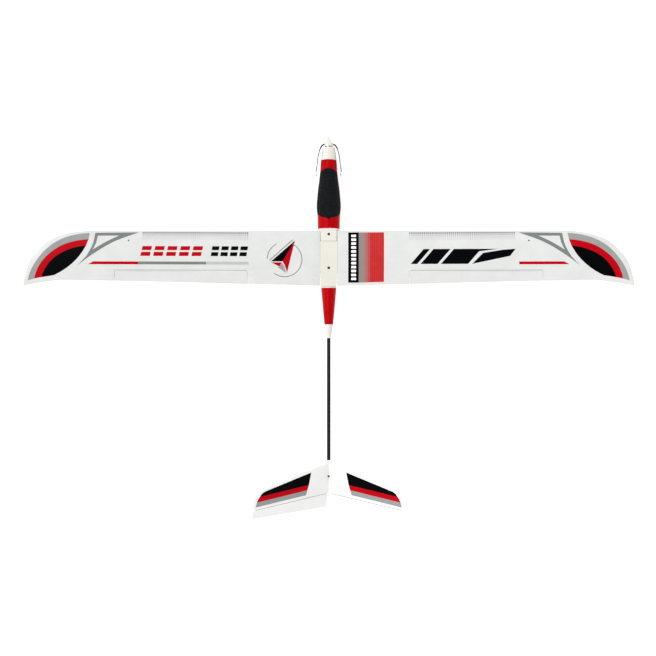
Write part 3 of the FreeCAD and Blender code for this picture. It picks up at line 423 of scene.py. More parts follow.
def prism_solid(points, depth):
    """Solid from a polygon in millimetres swept along a vector."""
    mesh = bmesh.new()
    low = [mesh.verts.new(Vector(point) * MM) for point in points]
    high = [mesh.verts.new((Vector(point) + Vector(depth)) * MM) for point in points]
    mesh.faces.new(low)
    mesh.faces.new(list(reversed(high)))
    count = len(points)
    for index in range(count):
        after = (index + 1) % count
        mesh.faces.new((low[after], low[index], high[index], high[after]))
    bmesh.ops.recalc_face_normals(mesh, faces=mesh.faces)
    return mesh


def block(x0, y0, z0, x1, y1, z1):
    """Box solid between two corners."""
    return prism_solid([(x0, y0, z0), (x1, y0, z0), (x1, y1, z0), (x0, y1, z0)], (0, 0, z1 - z0))


def lathe_solid(profile, axis_z, steps=64):
    """Solid turned about an axis along Y at a height; the profile is (radius, y)."""
    angles = [2 * math.pi * step / steps for step in range(steps)]
    return grid_solid([[(radius * math.cos(angle), y, axis_z + radius * math.sin(angle)) for angle in angles]
                       for radius, y in profile])


def disc_solid(x, y, radius, z0, z1, steps=32):
    """Upright cylinder."""
    angles = [2 * math.pi * step / steps for step in range(steps)]
    ring = [(x + radius * math.cos(angle), y + radius * math.sin(angle), z0) for angle in angles]
    return prism_solid(ring, (0, 0, z1 - z0))


def temporary(mesh_data):
    """Helper object used as a boolean tool and removed again."""
    mesh = bpy.data.meshes.new("tool")
    mesh_data.to_mesh(mesh)
    mesh_data.free()
    tool = bpy.data.objects.new("tool", mesh)
    bpy.context.scene.collection.objects.link(tool)
    return tool


def bake(piece):
    """Apply every modifier of a piece."""
    graph = bpy.context.evaluated_depsgraph_get()
    graph.update()
    mesh = bpy.data.meshes.new_from_object(piece.evaluated_get(graph))
    piece.modifiers.clear()
    previous = piece.data
    piece.data = mesh
    bpy.data.meshes.remove(previous)


def carve(piece, tools, kind="DIFFERENCE"):
    """Boolean a list of bmesh tools into a piece."""
    helpers = [temporary(tool) for tool in tools]
    for helper in helpers:
        modifier = piece.modifiers.new("carve", "BOOLEAN")
        modifier.operation = kind
        modifier.solver = "EXACT"
        modifier.object = helper
    bake(piece)
    for helper in helpers:
        data = helper.data
        bpy.data.objects.remove(helper)
        bpy.data.meshes.remove(data)


WELD = 1e-6


def soften(piece, width, segments=3, angle=35.0):
    """Round the sharp edges and shade the rest smooth."""
    mesh = bmesh.new()
    mesh.from_mesh(piece.data)
    bmesh.ops.remove_doubles(mesh, verts=mesh.verts, dist=WELD)
    mesh.to_mesh(piece.data)
    mesh.free()
    if width:
        modifier = piece.modifiers.new("round", "BEVEL")
        modifier.width = width * MM
        modifier.segments = segments
        modifier.limit_method = "ANGLE"
        modifier.angle_limit = math.radians(angle)
        modifier.use_clamp_overlap = True
        bake(piece)
    piece.data.shade_smooth()
    piece.data.set_sharp_from_angle(angle=math.radians(angle))
    modifier = piece.modifiers.new("even", "WEIGHTED_NORMAL")
    modifier.keep_sharp = True
    modifier.weight = 60
    bake(piece)


def mirrored(piece, name, body):
    """Left-hand twin of a right-hand piece."""
    mesh = piece.data.copy()
    mesh.transform(Matrix.Diagonal((-1.0, 1.0, 1.0, 1.0)))
    mesh.flip_normals()
    twin = bpy.data.objects.new(name, mesh)
    bpy.context.scene.collection.objects.link(twin)
    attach(twin, body)
    return twin


def curve_through(xs, ys, x):
    """Monotone cubic through a row of points."""
    count = len(xs)
    slopes = [(ys[i + 1] - ys[i]) / (xs[i + 1] - xs[i]) for i in range(count - 1)]
    tangents = [slopes[0]]
    for before, after in zip(slopes[:-1], slopes[1:]):
        tangents.append(0.0 if before * after <= 0 else 2 * before * after / (before + after))
    tangents.append(slopes[-1])
    index = max(i for i in range(count - 1) if x >= xs[i] or i == 0)
    width = xs[index + 1] - xs[index]
    t = (x - xs[index]) / width
    value = (2 * t ** 3 - 3 * t ** 2 + 1) * ys[index] + (t ** 3 - 2 * t ** 2 + t) * width * tangents[index]
    value += (3 * t ** 2 - 2 * t ** 3) * ys[index + 1] + (t ** 3 - t ** 2) * width * tangents[index + 1]
    return value


# ---------------------------------------------------------------------------
# Lifting surfaces
# ---------------------------------------------------------------------------
COS_TAIL = math.cos(TAIL_ANGLE)
WING_CAMBER = 0.025
EDGE = 0.4
CHORD_STEPS = 30

# Span position, leading edge, trailing edge, thickness of the section over its chord.
WING_PLAN = [
    (0.0, 273.5, 109.0, 0.1080), (240.0, 272.8, 114.0, 0.1069), (633.0, 272.0, 123.0, 0.1026),
    (700.0, 271.8, 123.6, 0.1004), (735.0, 268.5, 124.3, 0.0994), (769.0, 263.5, 125.0, 0.0972),
    (792.0, 256.5, 124.6, 0.0950), (815.0, 247.0, 122.0, 0.0929), (834.0, 234.5, 119.5, 0.0907),
    (850.0, 220.0, 117.0, 0.0886), (864.0, 204.5, 114.5, 0.0864), (877.0, 188.0, 112.3, 0.0842),
    (885.0, 172.5, 111.0, 0.0821), (891.0, 154.0, 110.0, 0.0810), (896.0, 133.5, 109.4, 0.0810),
    (900.0, 115.5, 109.0, 0.0810),
]
TAIL_PLAN = [
    (-6.0, -414.0, -548.2, 0.0580), (0.0, -416.0, -548.5, 0.0580), (185.0, -478.0, -556.6, 0.0551),
    (195.0, -483.5, -557.0, 0.0551), (204.0, -491.0, -557.3, 0.0534), (210.0, -501.0, -557.6, 0.0522),
    (214.0, -515.0, -557.8, 0.0493), (217.7, -540.0, -558.0, 0.0493),
]


def plan_at(plan, x):
    """Leading edge, trailing edge and thickness ratio at one span position."""
    xs = [row[0] for row in plan]
    return [curve_through(xs, [row[column] for row in plan], x) for column in (1, 2, 3)]


def foil(fraction, thickness, camber):
    """Camber height and half thickness at a chord fraction, over the chord."""
    half = 0.2969 * math.sqrt(fraction) - 0.1260 * fraction - 0.3516 * fraction ** 2
    half += 0.2843 * fraction ** 3 - 0.1036 * fraction ** 4
    peak = 0.4
    if fraction < peak:
        line = camber / peak ** 2 * (2 * peak * fraction - fraction ** 2)
    else:
        line = camber / (1 - peak) ** 2 * (1 - 2 * peak + 2 * peak * fraction - fraction ** 2)
    return line, 5 * thickness * half


def foil_loop(x, lead, trail, base, thickness, camber):
    """Closed section loop: over the top from the trailing edge and back underneath."""
    chord = lead - trail
    upper = []
    lower = []
    for step in range(CHORD_STEPS + 1):
        fraction = 0.5 * (1 - math.cos(math.pi * step / CHORD_STEPS))
        line, half = foil(fraction, thickness, camber)
        blunt = EDGE * fraction
        upper.append((x, lead - chord * fraction, base + chord * (line + half) + blunt))
        lower.append((x, lead - chord * fraction, base + chord * (line - half) - blunt))
    return list(reversed(upper)) + lower[1:]


def skin_height(y, lead, trail, base, thickness, camber):
    """Upper skin height at one chord position."""
    chord = lead - trail
    fraction = min(max((lead - y) / chord, 0.0), 1.0)
    line, half = foil(fraction, thickness, camber)
    return base + chord * (line + half) + EDGE * fraction


def wing_base(x):
    """Height of the wing's chord line at one span position."""
    return WING_ROOT_Z + x * math.tan(DIHEDRAL)


def wing_loop(x):
    lead, trail, thickness = plan_at(WING_PLAN, x)
    return foil_loop(x, lead, trail, wing_base(x), thickness, WING_CAMBER)


def wing_top(x, y):
    """Upper wing skin above a plan point, for either side."""
    lead, trail, thickness = plan_at(WING_PLAN, abs(x))
    return skin_height(y, lead, trail, wing_base(abs(x)), thickness, WING_CAMBER)


def tail_loop(x):
    lead, trail, thickness = plan_at(TAIL_PLAN, x)
    return foil_loop(x / COS_TAIL, lead, trail, 0.0, thickness, 0.0)


def spans(breaks, finest):
    """Span positions between breaks, closer together towards the end."""
    places = []
    for low, high in zip(breaks[:-1], breaks[1:]):
        count = max(2, int((high - low) / finest))
        places += [low + (high - low) * step / count for step in range(count)]
    return places + [breaks[-1]]


HINGE_BEVEL = math.tan(math.radians(28.0))
HINGE_SKIN = 0.8
WEDGE_DEPTH = 40.0
WEDGE_PAST_ENDS = 30.0


def hinge_wedge(start, along, length):
    """Wedge that bevels the front of a top-hinged surface."""
    side = Vector((-along.y, along.x, 0.0)).normalized()
    lip = start - Vector((0, 0, HINGE_SKIN))
    low = Vector((0, 0, -WEDGE_DEPTH))
    points = [lip, lip + side * 4, lip + side * 4 + low, lip + low - side * (WEDGE_DEPTH * HINGE_BEVEL)]
    return prism_solid([point - along * WEDGE_PAST_ENDS for point in points],
                       along * (length + 2 * WEDGE_PAST_ENDS))


# Plan of the aileron: its two ends and its hinge line.
AILERON_INNER = 240.0
AILERON_OUTER = 633.0
AILERON_HINGE_Y = 154.5
AILERON_LINK_X = 352.0
WING_SPANS = spans([25.8, AILERON_INNER, AILERON_OUTER, 700.0], 26.0)
WING_SPANS += spans([706.0, 815.0, 880.0, 893.0, 900.0], 5.0)
hinge_start = Vector((AILERON_INNER, AILERON_HINGE_Y, wing_top(AILERON_INNER, AILERON_HINGE_Y)))
hinge_end = Vector((AILERON_OUTER, AILERON_HINGE_Y, wing_top(AILERON_OUTER, AILERON_HINGE_Y)))
hinge_along = (hinge_end - hinge_start).normalized()

wing = store("wing_foam_right", grid_solid([wing_loop(x) for x in WING_SPANS]), foam_wing, "airframe")
link_origin = hinge_start + hinge_along * ((AILERON_LINK_X - AILERON_INNER) / hinge_along.x)
aileron_bay = block(AILERON_INNER, 60, 0, AILERON_OUTER, AILERON_HINGE_Y + 0.6, 200)
servo_well = block(link_origin.x + 0.6, 193.5, 40, link_origin.x + 29.8, 218.1, link_origin.z + 1.6)
carve(wing, [aileron_bay, servo_well])
soften(wing, 0.5, 2)
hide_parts("wing_panel_right")
wing_left = mirrored(wing, "wing_foam_left", "airframe")
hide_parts("wing_panel_left")

aileron = store("aileron_foam_right", grid_solid([wing_loop(x) for x in spans([200.0, 680.0], 24.0)]), foam_wing,
                "aileron_right")
carve(aileron, [block(AILERON_INNER + 0.8, 60, 0, AILERON_OUTER - 0.8, AILERON_HINGE_Y - 0.6, 200)], "INTERSECT")
carve(aileron, [hinge_wedge(hinge_start - Vector((0, 0.6, 0)), hinge_along, 400)])
soften(aileron, 0.5, 2)
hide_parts("aileron_right")
aileron_left = mirrored(aileron, "aileron_foam_left", "aileron_left")
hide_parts("aileron_left")

TAIL_TURN = Matrix.Translation((0, 0, TAIL_APEX_Z * MM)) @ Matrix.Rotation(-TAIL_ANGLE, 4, "Y")
TAIL_HINGE_ROOT_Y = -508.2
TAIL_HINGE_SWEEP = 0.1225


def tail_hinge(x):
    """Position of the ruddervator hinge line at one span position."""
    return TAIL_HINGE_ROOT_Y - TAIL_HINGE_SWEEP * x


def tail_zone(inner, trail_inner, shift):
    """Plan region behind the tail hinge line, as a tall prism in the flat panel."""
    corners = [(inner / COS_TAIL, tail_hinge(inner) + shift, -20), (240 / COS_TAIL, tail_hinge(240) + shift, -20),
               (240 / COS_TAIL, -590, -20), (trail_inner / COS_TAIL, -590, -20)]
    return prism_solid(corners, (0, 0, 40))


def tail_hinge_point(x):
    """Point of the hinge line on the upper skin of the flat panel."""
    lead, trail, thickness = plan_at(TAIL_PLAN, x)
    return Vector((x / COS_TAIL, tail_hinge(x), skin_height(tail_hinge(x), lead, trail, 0.0, thickness, 0.0)))


TAIL_SPANS = spans([-6.0, 0.0, 185.0], 14.0) + spans([188.0, 205.0, 214.0, 217.7], 1.6)
stabilizer = store("stabilizer_foam_right", grid_solid([tail_loop(x) for x in TAIL_SPANS]), foam_tail_painted_light, None)
carve(stabilizer, [tail_zone(-12, -12, 0.5)])
stabilizer.data.transform(TAIL_TURN)
carve(stabilizer, [block(-60, -620, 0, 0.05, -300, 300), disc_solid(0, -458, 3.2, 76, 120)])
soften(stabilizer, 0.3, 2)
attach(stabilizer, "airframe")
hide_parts("stabilizer_right")
stabilizer_left = mirrored(stabilizer, "stabilizer_foam_left", "airframe")
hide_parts("stabilizer_left")

TAIL_HINGE_INNER = 9.0
TAIL_HINGE_OUTER = 208.0
tail_inner = tail_hinge_point(TAIL_HINGE_INNER)
tail_along = (tail_hinge_point(184.0) - tail_inner).normalized()
ruddervator = store("ruddervator_foam_right", grid_solid([tail_loop(x) for x in TAIL_SPANS]), foam_tail_painted_light, None)
carve(ruddervator, [tail_zone(5.6, 11.2, -0.5)], "INTERSECT")
carve(ruddervator, [hinge_wedge(tail_inner - Vector((0, 0.5, 0)), tail_along, 250)])
ruddervator.data.transform(TAIL_TURN)
soften(ruddervator, 0.3, 2)
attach(ruddervator, "ruddervator_right")
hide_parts("ruddervator_right")
ruddervator_left = mirrored(ruddervator, "ruddervator_foam_left", "ruddervator_left")
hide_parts("ruddervator_left")

STRIP_REACH = (-3.0, -1.5, -0.5, 0.0, 0.5, 1.5, 3.0)
STRIP_TOP = 0.45
STRIP_BOTTOM = 0.85
STRIP_STEPS = 40


def hinge_shade_strip(name, start, end, up, film):
    """Thin flexible strip buried in both sides of a hinge groove; its dark colour is painted shade of the groove."""
    back = (end - start).normalized().cross(up).normalized()
    loops = []
    for step in range(STRIP_STEPS + 1):
        place = start + (end - start) * (step / STRIP_STEPS)
        loop = [place + back * reach - up * STRIP_TOP for reach in STRIP_REACH]
        loop += [place + back * reach - up * STRIP_BOTTOM for reach in reversed(STRIP_REACH)]
        loops.append(loop)
    strip = store(name, grid_solid(loops), film, None)
    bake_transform(strip)


wing_ends = [hinge_start + hinge_along * 2, hinge_end - hinge_along * 2]
wing_up = Vector((-hinge_along.z, 0.0, hinge_along.x))
tail_ends = [TAIL_TURN @ (tail_hinge_point(x) * MM) / MM for x in (TAIL_HINGE_INNER, TAIL_HINGE_OUTER)]
tail_up = TAIL_TURN.to_3x3() @ Vector((0, 0, 1))
# Hinge strips along each hinge line, coloured with painted groove shade.
for side, sign in (("right", 1), ("left", -1)):
    mirror = Matrix.Diagonal((sign, 1, 1))
    for kind, body, ends, up, film in (("aileron", "aileron_", wing_ends, wing_up, hinge_groove_shade),
                                       ("tail", "ruddervator_", tail_ends, tail_up, tail_groove_shade)):
        start, end = [mirror @ point for point in ends[::sign]]
        hinge_shade_strip(kind + "_hinge_shade_strip_" + side, start, end, mirror @ up, film)

# ---------------------------------------------------------------------------
# Pod shells and canopy hatch
# ---------------------------------------------------------------------------
# Station, full width, bottom, top, squareness of the outline.
POD_STATIONS = [
    (526.5, 36.6, 23.7, 60.3, 2.0), (510.0, 41.8, 19.4, 65.6, 2.03), (487.0, 47.4, 13.8, 70.2, 2.08),
    (455.0, 51.8, 7.0, 73.6, 2.2), (430.0, 57.0, 2.6, 75.4, 2.3), (390.0, 67.0, -1.2, 77.2, 2.35),
    (348.0, 73.0, -2.0, 78.0, 2.35), (318.0, 67.6, -2.0, 77.6, 2.35), (281.0, 65.6, -2.0, 76.0, 2.35),
    (230.0, 61.0, -2.0, 74.0, 2.35), (165.0, 53.0, -2.0, 72.0, 2.35), (130.0, 48.6, -1.6, 71.0, 2.3),
    (102.5, 45.3, 1.5, 70.4, 2.25), (48.0, 36.0, 22.0, 69.6, 2.1), (-6.0, 25.8, 40.6, 68.2, 2.0),
    (-47.0, 13.6, 49.2, 62.8, 2.0),
]
OUTLINE_STEPS = 72
PEAKED_TOP = 0.3
SHELL_WALL = 2.2
HATCH_WALL = 2.5
HATCH_GAP = 0.35


def pod_loop(y, inset, floor):
    """Pod cross-section at a station, moved inwards by the inset and flat at the floor."""
    places = [-row[0] for row in POD_STATIONS]
    width, bottom, top, power = [curve_through(places, [row[column] for row in POD_STATIONS], -y)
                                 for column in (1, 2, 3, 4)]
    half = width / 2 - inset
    tall = (top - bottom) / 2 - inset
    loop = []
    for step in range(OUTLINE_STEPS):
        angle = 2 * math.pi * (step + 0.5) / OUTLINE_STEPS
        cosine = math.cos(angle)
        sine = math.sin(angle)
        square = power - PEAKED_TOP if sine > 0 else power
        x = half * math.copysign(abs(cosine) ** (2 / square), cosine)
        z = (top + bottom) / 2 + tall * math.copysign(abs(sine) ** (2 / square), sine)
        loop.append((x, y, max(z, floor)))
    return loop


def pod_solid(inset, floor, front=526.5, rear=-47.0, pitch=6.0):
    """Solid with the outline of the pod between two stations."""
    count = int((front - rear) / pitch)
    stations = [front - (front - rear) * step / count for step in range(count + 1)]
    return grid_solid([pod_loop(y, inset, floor) for y in stations])


def hatch_prism(shrink):
    """Side outline of the hatch, right across the pod."""
    corners = [(-60, 469.7 - shrink, 90), (-60, 438.9 - shrink, 31.5 + shrink),
               (-60, 333.6 + shrink, 31.5 + shrink), (-60, 304.9 + shrink, 90)]
    return prism_solid(corners, (120, 0, 0))


def hatch_tongue(shrink):
    """Small point at the rear of the hatch."""
    half = 11.5 - 1.6 * shrink
    return prism_solid([(-half, 318, 60), (half, 318, 60), (0, 304.6 + 1.3 * shrink, 60)], (0, 0, 30))


shell = store("pod_shell_right", pod_solid(0.0, 0.0), pod_shell_material, None)
carve(shell, [pod_solid(SHELL_WALL, SHELL_WALL, 526.4, -46.9)])
motor_hole = lathe_solid([(15.6, 514.5), (15.6, 540.0)], PROPELLER_Z)
boom_hole = lathe_solid([(5.52, -60.0), (5.52, 60.0)], BOOM_Z)
wing_seat = block(-60, 107.4, 64.6, 60, 280.1, 120)
carve(shell, [motor_hole, boom_hole, wing_seat, hatch_prism(0.0), hatch_tongue(0.0)])
carve(shell, [block(0, -90, -10, 60, 560, 120)], "INTERSECT")
soften(shell, 0.35, 2, 32.0)
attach(shell, "airframe")
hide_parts("fuselage_shell_right")
shell_left = mirrored(shell, "pod_shell_left", "airframe")
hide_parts("fuselage_shell_left")

hatch = store("canopy_foam", pod_solid(0.0, 0.0, 474.0, 296.0, 4.0), canopy_skin, None)
carve(hatch, [pod_solid(HATCH_WALL, 0.0, 473.9, 296.1, 4.0)])
opening = temporary(hatch_prism(HATCH_GAP))
carve(opening, [hatch_tongue(HATCH_GAP)], "UNION")
opening_mesh = bmesh.new()
opening_mesh.from_mesh(opening.data)
bpy.data.objects.remove(opening)
carve(hatch, [opening_mesh], "INTERSECT")
soften(hatch, 0.6, 3, 32.0)
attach(hatch, "canopy")
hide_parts("canopy_hatch")

# ---------------------------------------------------------------------------
# Moulded fittings with their corners taken off
# ---------------------------------------------------------------------------


def reworked(node, name, material, body, width, segments=3):
    """Copy of a CAD part with rounded edges, in place of the part."""
    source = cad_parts[node]
    mesh = source.data.copy()
    mesh.transform(source.matrix_world)
    piece = bpy.data.objects.new(name, mesh)
    bpy.context.scene.collection.objects.link(piece)
    mesh.materials.clear()
    mesh.materials.append(material)
    if width:
        soften(piece, width, segments, 30.0)
    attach(piece, body)
    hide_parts(node)
    return piece


mount = reworked("tail_mount", "tail_mount_moulding", white_plastic, "airframe", 0.0)
taper = prism_solid([(-4.6, -411, 30), (4.6, -411, 30), (15.5, -446, 30), (15.5, -500, 30),
                     (-15.5, -500, 30), (-15.5, -446, 30)], (0, 0, 70))
carve(mount, [taper], "INTERSECT")
soften(mount, 0.5, 2, 30.0)
reworked("wing_center_section", "wing_center_moulding", cream_plastic, "airframe", 0.7)
reworked("wing_front_block", "wing_front_moulding", cream_plastic, "airframe", 0.6)
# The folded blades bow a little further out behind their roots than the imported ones.
BOW_START_Y = 528.0 * MM
BOW_LENGTH = 30.0 * MM
BOW = 1.3 * MM
for side, outward in (("left", -1.0), ("right", 1.0)):
    reworked("aileron_servo_" + side, "aileron_servo_case_" + side, black_plastic, "airframe", 0.4, 2)
    reworked("tail_servo_" + side, "tail_servo_case_" + side, black_plastic, "airframe", 0.4, 2)
    blade = reworked("prop_blade_" + side, "folding_blade_" + side, blade_black, "blade_" + side, 0.0)
    for vertex in blade.data.vertices:
        reach = min(max((BOW_START_Y - vertex.co.y) / BOW_LENGTH, 0.0), 1.0)
        vertex.co.x += outward * BOW * reach * reach * (3.0 - 2.0 * reach)
reworked("battery_pack", "battery_pouch", battery_wrap, "airframe", 2.2, 4)
reworked("receiver", "receiver_case", circuit_wrap, "airframe", 0.8, 2)
reworked("speed_controller", "speed_controller_case", circuit_wrap, "airframe", 0.8, 2)

# ---------------------------------------------------------------------------
# Spinner, and decals laid on the skins
# ---------------------------------------------------------------------------
CONE_OUTSIDE = [(14.0, 530.45), (13.4, 534.5), (12.2, 540.0), (11.35, 543.0), (10.35, 545.6), (9.35, 548.1),
                (8.15, 550.4), (6.85, 552.6), (5.35, 554.5), (4.0, 555.9), (2.6, 557.0), (1.3, 557.7), (0.05, 558.0)]
CONE_INSIDE = [(12.8, 528.0), (12.2, 534.5), (11.0, 539.5), (9.0, 544.8), (6.6, 549.3), (3.6, 553.2), (0.1, 555.6)]
cone = store("spinner_shell", lathe_solid(CONE_OUTSIDE, PROPELLER_Z), white_gloss, "propeller")
blade_slots = [block(5.6, 525, 36, 16, 555, 48), block(-16, 525, 36, -5.6, 555, 48)]
carve(cone, [lathe_solid(CONE_INSIDE, PROPELLER_Z)] + blade_slots)
soften(cone, 0.25, 2)
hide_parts("spinner_cone")


FILM_TOP = 0.16
FILM_BOTTOM = -0.05


def cut_into_cells(mesh, cell):
    """Cut flat faces along a square grid, so that they can follow a curved skin."""
    xs = [vertex.co.x for vertex in mesh.verts]
    ys = [vertex.co.y for vertex in mesh.verts]
    for normal, low, high in ((Vector((1, 0, 0)), min(xs), max(xs)), (Vector((0, 1, 0)), min(ys), max(ys))):
        place = math.ceil(low / cell) * cell
        while place < high:
            parts = mesh.verts[:] + mesh.edges[:] + mesh.faces[:]
            bmesh.ops.bisect_plane(mesh, geom=parts, plane_co=normal * place, plane_no=normal)
            place += cell


def decal(name, outlines, material, lift, cell=9.0):
    """Thin printed film over a skin: plan outlines in millimetres, lifted onto the surface."""
    mesh = bmesh.new()
    for outline in outlines:
        mesh.faces.new([mesh.verts.new((x, y, 0.0)) for x, y in outline])
    cut_into_cells(mesh, cell)
    bmesh.ops.triangulate(mesh, faces=[face for face in mesh.faces if len(face.verts) > 4])
    copied = bmesh.ops.duplicate(mesh, geom=mesh.faces[:])
    top_faces = [item for item in copied["geom"] if isinstance(item, bmesh.types.BMFace)]
    pairs = copied["vert_map"]
    top_verts = {vertex for face in top_faces for vertex in face.verts}
    for edge in [edge for edge in mesh.edges if edge.is_boundary and edge.verts[0] not in top_verts]:
        first, second = edge.verts
        mesh.faces.new((first, second, pairs[second], pairs[first]))
    for vertex in mesh.verts:
        above = FILM_TOP if vertex in top_verts else FILM_BOTTOM
        vertex.co = Vector(lift(vertex.co.x, vertex.co.y, above)) * MM
    bmesh.ops.recalc_face_normals(mesh, faces=mesh.faces)
    piece = store(name, mesh, material, "airframe")
    piece.data.shade_smooth()
    piece.data.set_sharp_from_angle(angle=math.radians(35))


def on_wing(x, y, above):
    """Plan point of either wing, lifted onto its skin."""
    return (x, y, wing_top(x, y) + above)


def on_tail(x, y, above):
    """Plan point of either tail panel, lifted square to its skin."""
    side = math.copysign(1.0, x)
    lead, trail, thickness = plan_at(TAIL_PLAN, abs(x))
    height = skin_height(y, lead, trail, 0.0, thickness, 0.0)
    point = TAIL_TURN @ (Vector((abs(x) / COS_TAIL + height * math.tan(TAIL_ANGLE), y, height + above)) * MM)
    return (side * point.x / MM, point.y / MM, point.z / MM)


def flipped(outline):
    """The same outline on the left side."""
    return [(-x, y) for x, y in outline]


def smooth_line(points, steps=5):
    """Catmull-Rom curve through plan points."""
    curve = []
    padded = [points[0]] + points + [points[-1]]
    for index in range(1, len(padded) - 2):
        p0, p1, p2, p3 = [Vector(point) for point in padded[index - 1:index + 3]]
        for step in range(steps):
            t = step / steps
            blend = 2 * p1 + (p2 - p0) * t + (2 * p0 - 5 * p1 + 4 * p2 - p3) * t ** 2
            curve.append(tuple((blend + (3 * p1 - p0 - 3 * p2 + p3) * t ** 3) / 2))
    return curve + [points[-1]]


TIP_OUTER = smooth_line([(704, 264), (740, 260), (774, 251), (805, 236), (832, 215), (854, 190), (870, 166),
                         (880, 144), (886, 124)])
TIP_MIDDLE = smooth_line([(707, 245), (740, 241), (774, 231.5), (801, 218), (827, 198), (846, 177), (860, 152),
                          (867, 129)])
TIP_INNER = smooth_line([(714, 226), (745, 221), (774, 211), (801, 196), (820, 179), (834, 160), (843, 143),
                         (847, 133)])
TIP_REAR = smooth_line([(714, 226), (728, 204), (742, 187), (759, 171), (779, 156), (798, 145), (810, 139)])
TRI_TOP = [(688, 264), (560, 266), (618, 256), (680, 255.5)]
TRI_SIDE = smooth_line([(688, 264), (690, 251), (694, 232), (704, 211), (718, 190), (740, 168)])
TRI_SIDE = TRI_SIDE + smooth_line([(695, 214), (685, 234), (680, 255.5)])
TRI_LONG = smooth_line([(560, 266), (619, 244), (655, 226), (692, 203), (718, 185), (740, 168)])
TRI_LONG = TRI_LONG + smooth_line([(695, 214), (655, 238), (618, 256)])
TAIL_BLACK = [(51.5, -442), (58.5, -478), (195.5, -496.5), (190.5, -489), (182.5, -483.5)]
TAIL_RED = [(58.5, -478), (63, -493), (203.8, -512), (200.5, -504), (195.5, -496.5)]
TAIL_GREY = [(63, -493), (66.6, -507), (207, -525.3), (203.8, -512)]
# Rows of printed dots behind the leading edge: position, half width, half height and ink.
DOT_ROWS = [(264.9, 1.7, 2.4, vinyl_dots), (258.7, 1.25, 1.5, vinyl_dots), (252.6, 1.1, 1.3, vinyl_dark_grey),
            (246.6, 1.0, 1.2, vinyl_grey)]
DOT_COLUMNS = [240.5 + 6.15 * column for column in range(51)]
UNCUT = 400.0


def dot(x, y, wide, tall):
    """Eight-sided dot."""
    return [(x - wide, y - tall / 2), (x - wide / 2, y - tall), (x + wide / 2, y - tall), (x + wide, y - tall / 2),
            (x + wide, y + tall / 2), (x + wide / 2, y + tall), (x - wide / 2, y + tall), (x - wide, y + tall / 2)]


for side, flip in (("right", lambda outline: outline), ("left", flipped)):
    decal("decal_tip_grey_" + side, [flip(TIP_OUTER + TIP_MIDDLE[::-1])], vinyl_grey, on_wing, 4.0)
    decal("decal_tip_red_" + side, [flip(TIP_MIDDLE + TIP_INNER[::-1])], vinyl_red, on_wing, 5.0)
    decal("decal_tip_black_" + side, [flip(TIP_INNER + TIP_REAR[::-1][:-1])], vinyl_black, on_wing)
    decal("decal_wedge_" + side, [flip(TRI_TOP), flip(TRI_SIDE), flip(TRI_LONG)], vinyl_dark_grey, on_wing, 5.0)
    decal("decal_stripe_red_" + side, [flip([(709, 171.2), (694, 179.6), (562, 179.6), (562, 171.2)])], vinyl_red,
          on_wing)
    decal("decal_tail_black_" + side, [flip(TAIL_BLACK)], vinyl_black, on_tail)
    decal("decal_tail_red_" + side, [flip(TAIL_RED)], vinyl_red, on_tail)
    decal("decal_tail_grey_" + side, [flip(TAIL_GREY)], vinyl_grey, on_tail)
    for row, (y, wide, tall, ink) in enumerate(DOT_ROWS):
        decal("decal_dots_%s_%d" % (side, row + 1), [flip(dot(x, y, wide, tall)) for x in DOT_COLUMNS], ink, on_wing,
              UNCUT)

decal("decal_stripe_grey_left", [flipped([(561.6, 171.2), (561.6, 179.6), (363, 179.6), (363, 171.2)])],
      vinyl_dark_grey, on_wing)
decal("decal_stripe_light_left", [flipped([(362.6, 171.2), (362.6, 179.6), (237, 179.6), (237, 171.2)])],
      vinyl_light_grey, on_wing)


def slanted_bar(x0, x1, y0, y1, lean):
    """Parallelogram leaning with its top."""
    return [(x0, y0), (x1, y0), (x1 + lean, y1), (x0 + lean, y1)]


def generic_bars(start, count, width, pitch, y0, y1, lean, split):
    """Row of leaning split bars in place of lettering."""
    bars = []
    for index in range(count):
        x = start + pitch * index
        middle = (y0 + y1) / 2
        for low, high in ((y0, middle - split), (middle + split, y1)):
            shift = lean * (low - y0) / (y1 - y0)
            bars.append(slanted_bar(x + shift, x + width + shift, low, high, lean * (high - low) / (y1 - y0)))
    return bars


decal("decal_bars_red", generic_bars(-556, 5, 28, 37.5, 196, 225, 7, 2.6), vinyl_red, on_wing)
decal("decal_bars_black", generic_bars(-349, 4, 21, 28.0, 196, 225, 5, 3.0), vinyl_black, on_wing)
SWEEP = [[(243, 173), (262, 173), (300, 217), (281, 217)], [(272, 173), (322, 173), (360, 217), (310, 217)],
         [(332, 173), (412, 173), (444, 210), (500, 217), (370, 217)],
         [(424, 173), (535, 196), (551, 217), (512, 214), (456, 205)]]
decal("decal_sweep_black", SWEEP, vinyl_black, on_wing)

decal("decal_banner_black", [[(58, 118.5), (89, 118.5), (89, 267.6), (58, 267.6)]], vinyl_black, on_wing)
decal("decal_banner_fade", [[(89, 118.5), (164, 120.5), (164, 267.6), (89, 267.6)]], banner_print, on_wing, 6.0)
tick_starts = [126 + 11.6 * step for step in range(12)]
ticks = [[(67, y), (81, y), (81, y + 7), (67, y + 7)] for y in tick_starts]


def on_banner(x, y, above):
    """Plan point lifted onto the banner's film."""
    return on_wing(x, y, above + FILM_TOP)


decal("decal_banner_ticks", ticks, vinyl_white, on_banner)


def ring_band(cx, cy, inner, outer, start, end):
    """Part of a flat ring as quads."""
    quads = []
    steps = int((end - start) / 6)
    for step in range(steps):
        first = math.radians(start + (end - start) * step / steps)
        second = math.radians(start + (end - start) * (step + 1) / steps)
        quads.append([(cx + inner * math.cos(first), cy + inner * math.sin(first)),
                      (cx + outer * math.cos(first), cy + outer * math.sin(first)),
                      (cx + outer * math.cos(second), cy + outer * math.sin(second)),
                      (cx + inner * math.cos(second), cy + inner * math.sin(second))])
    return quads


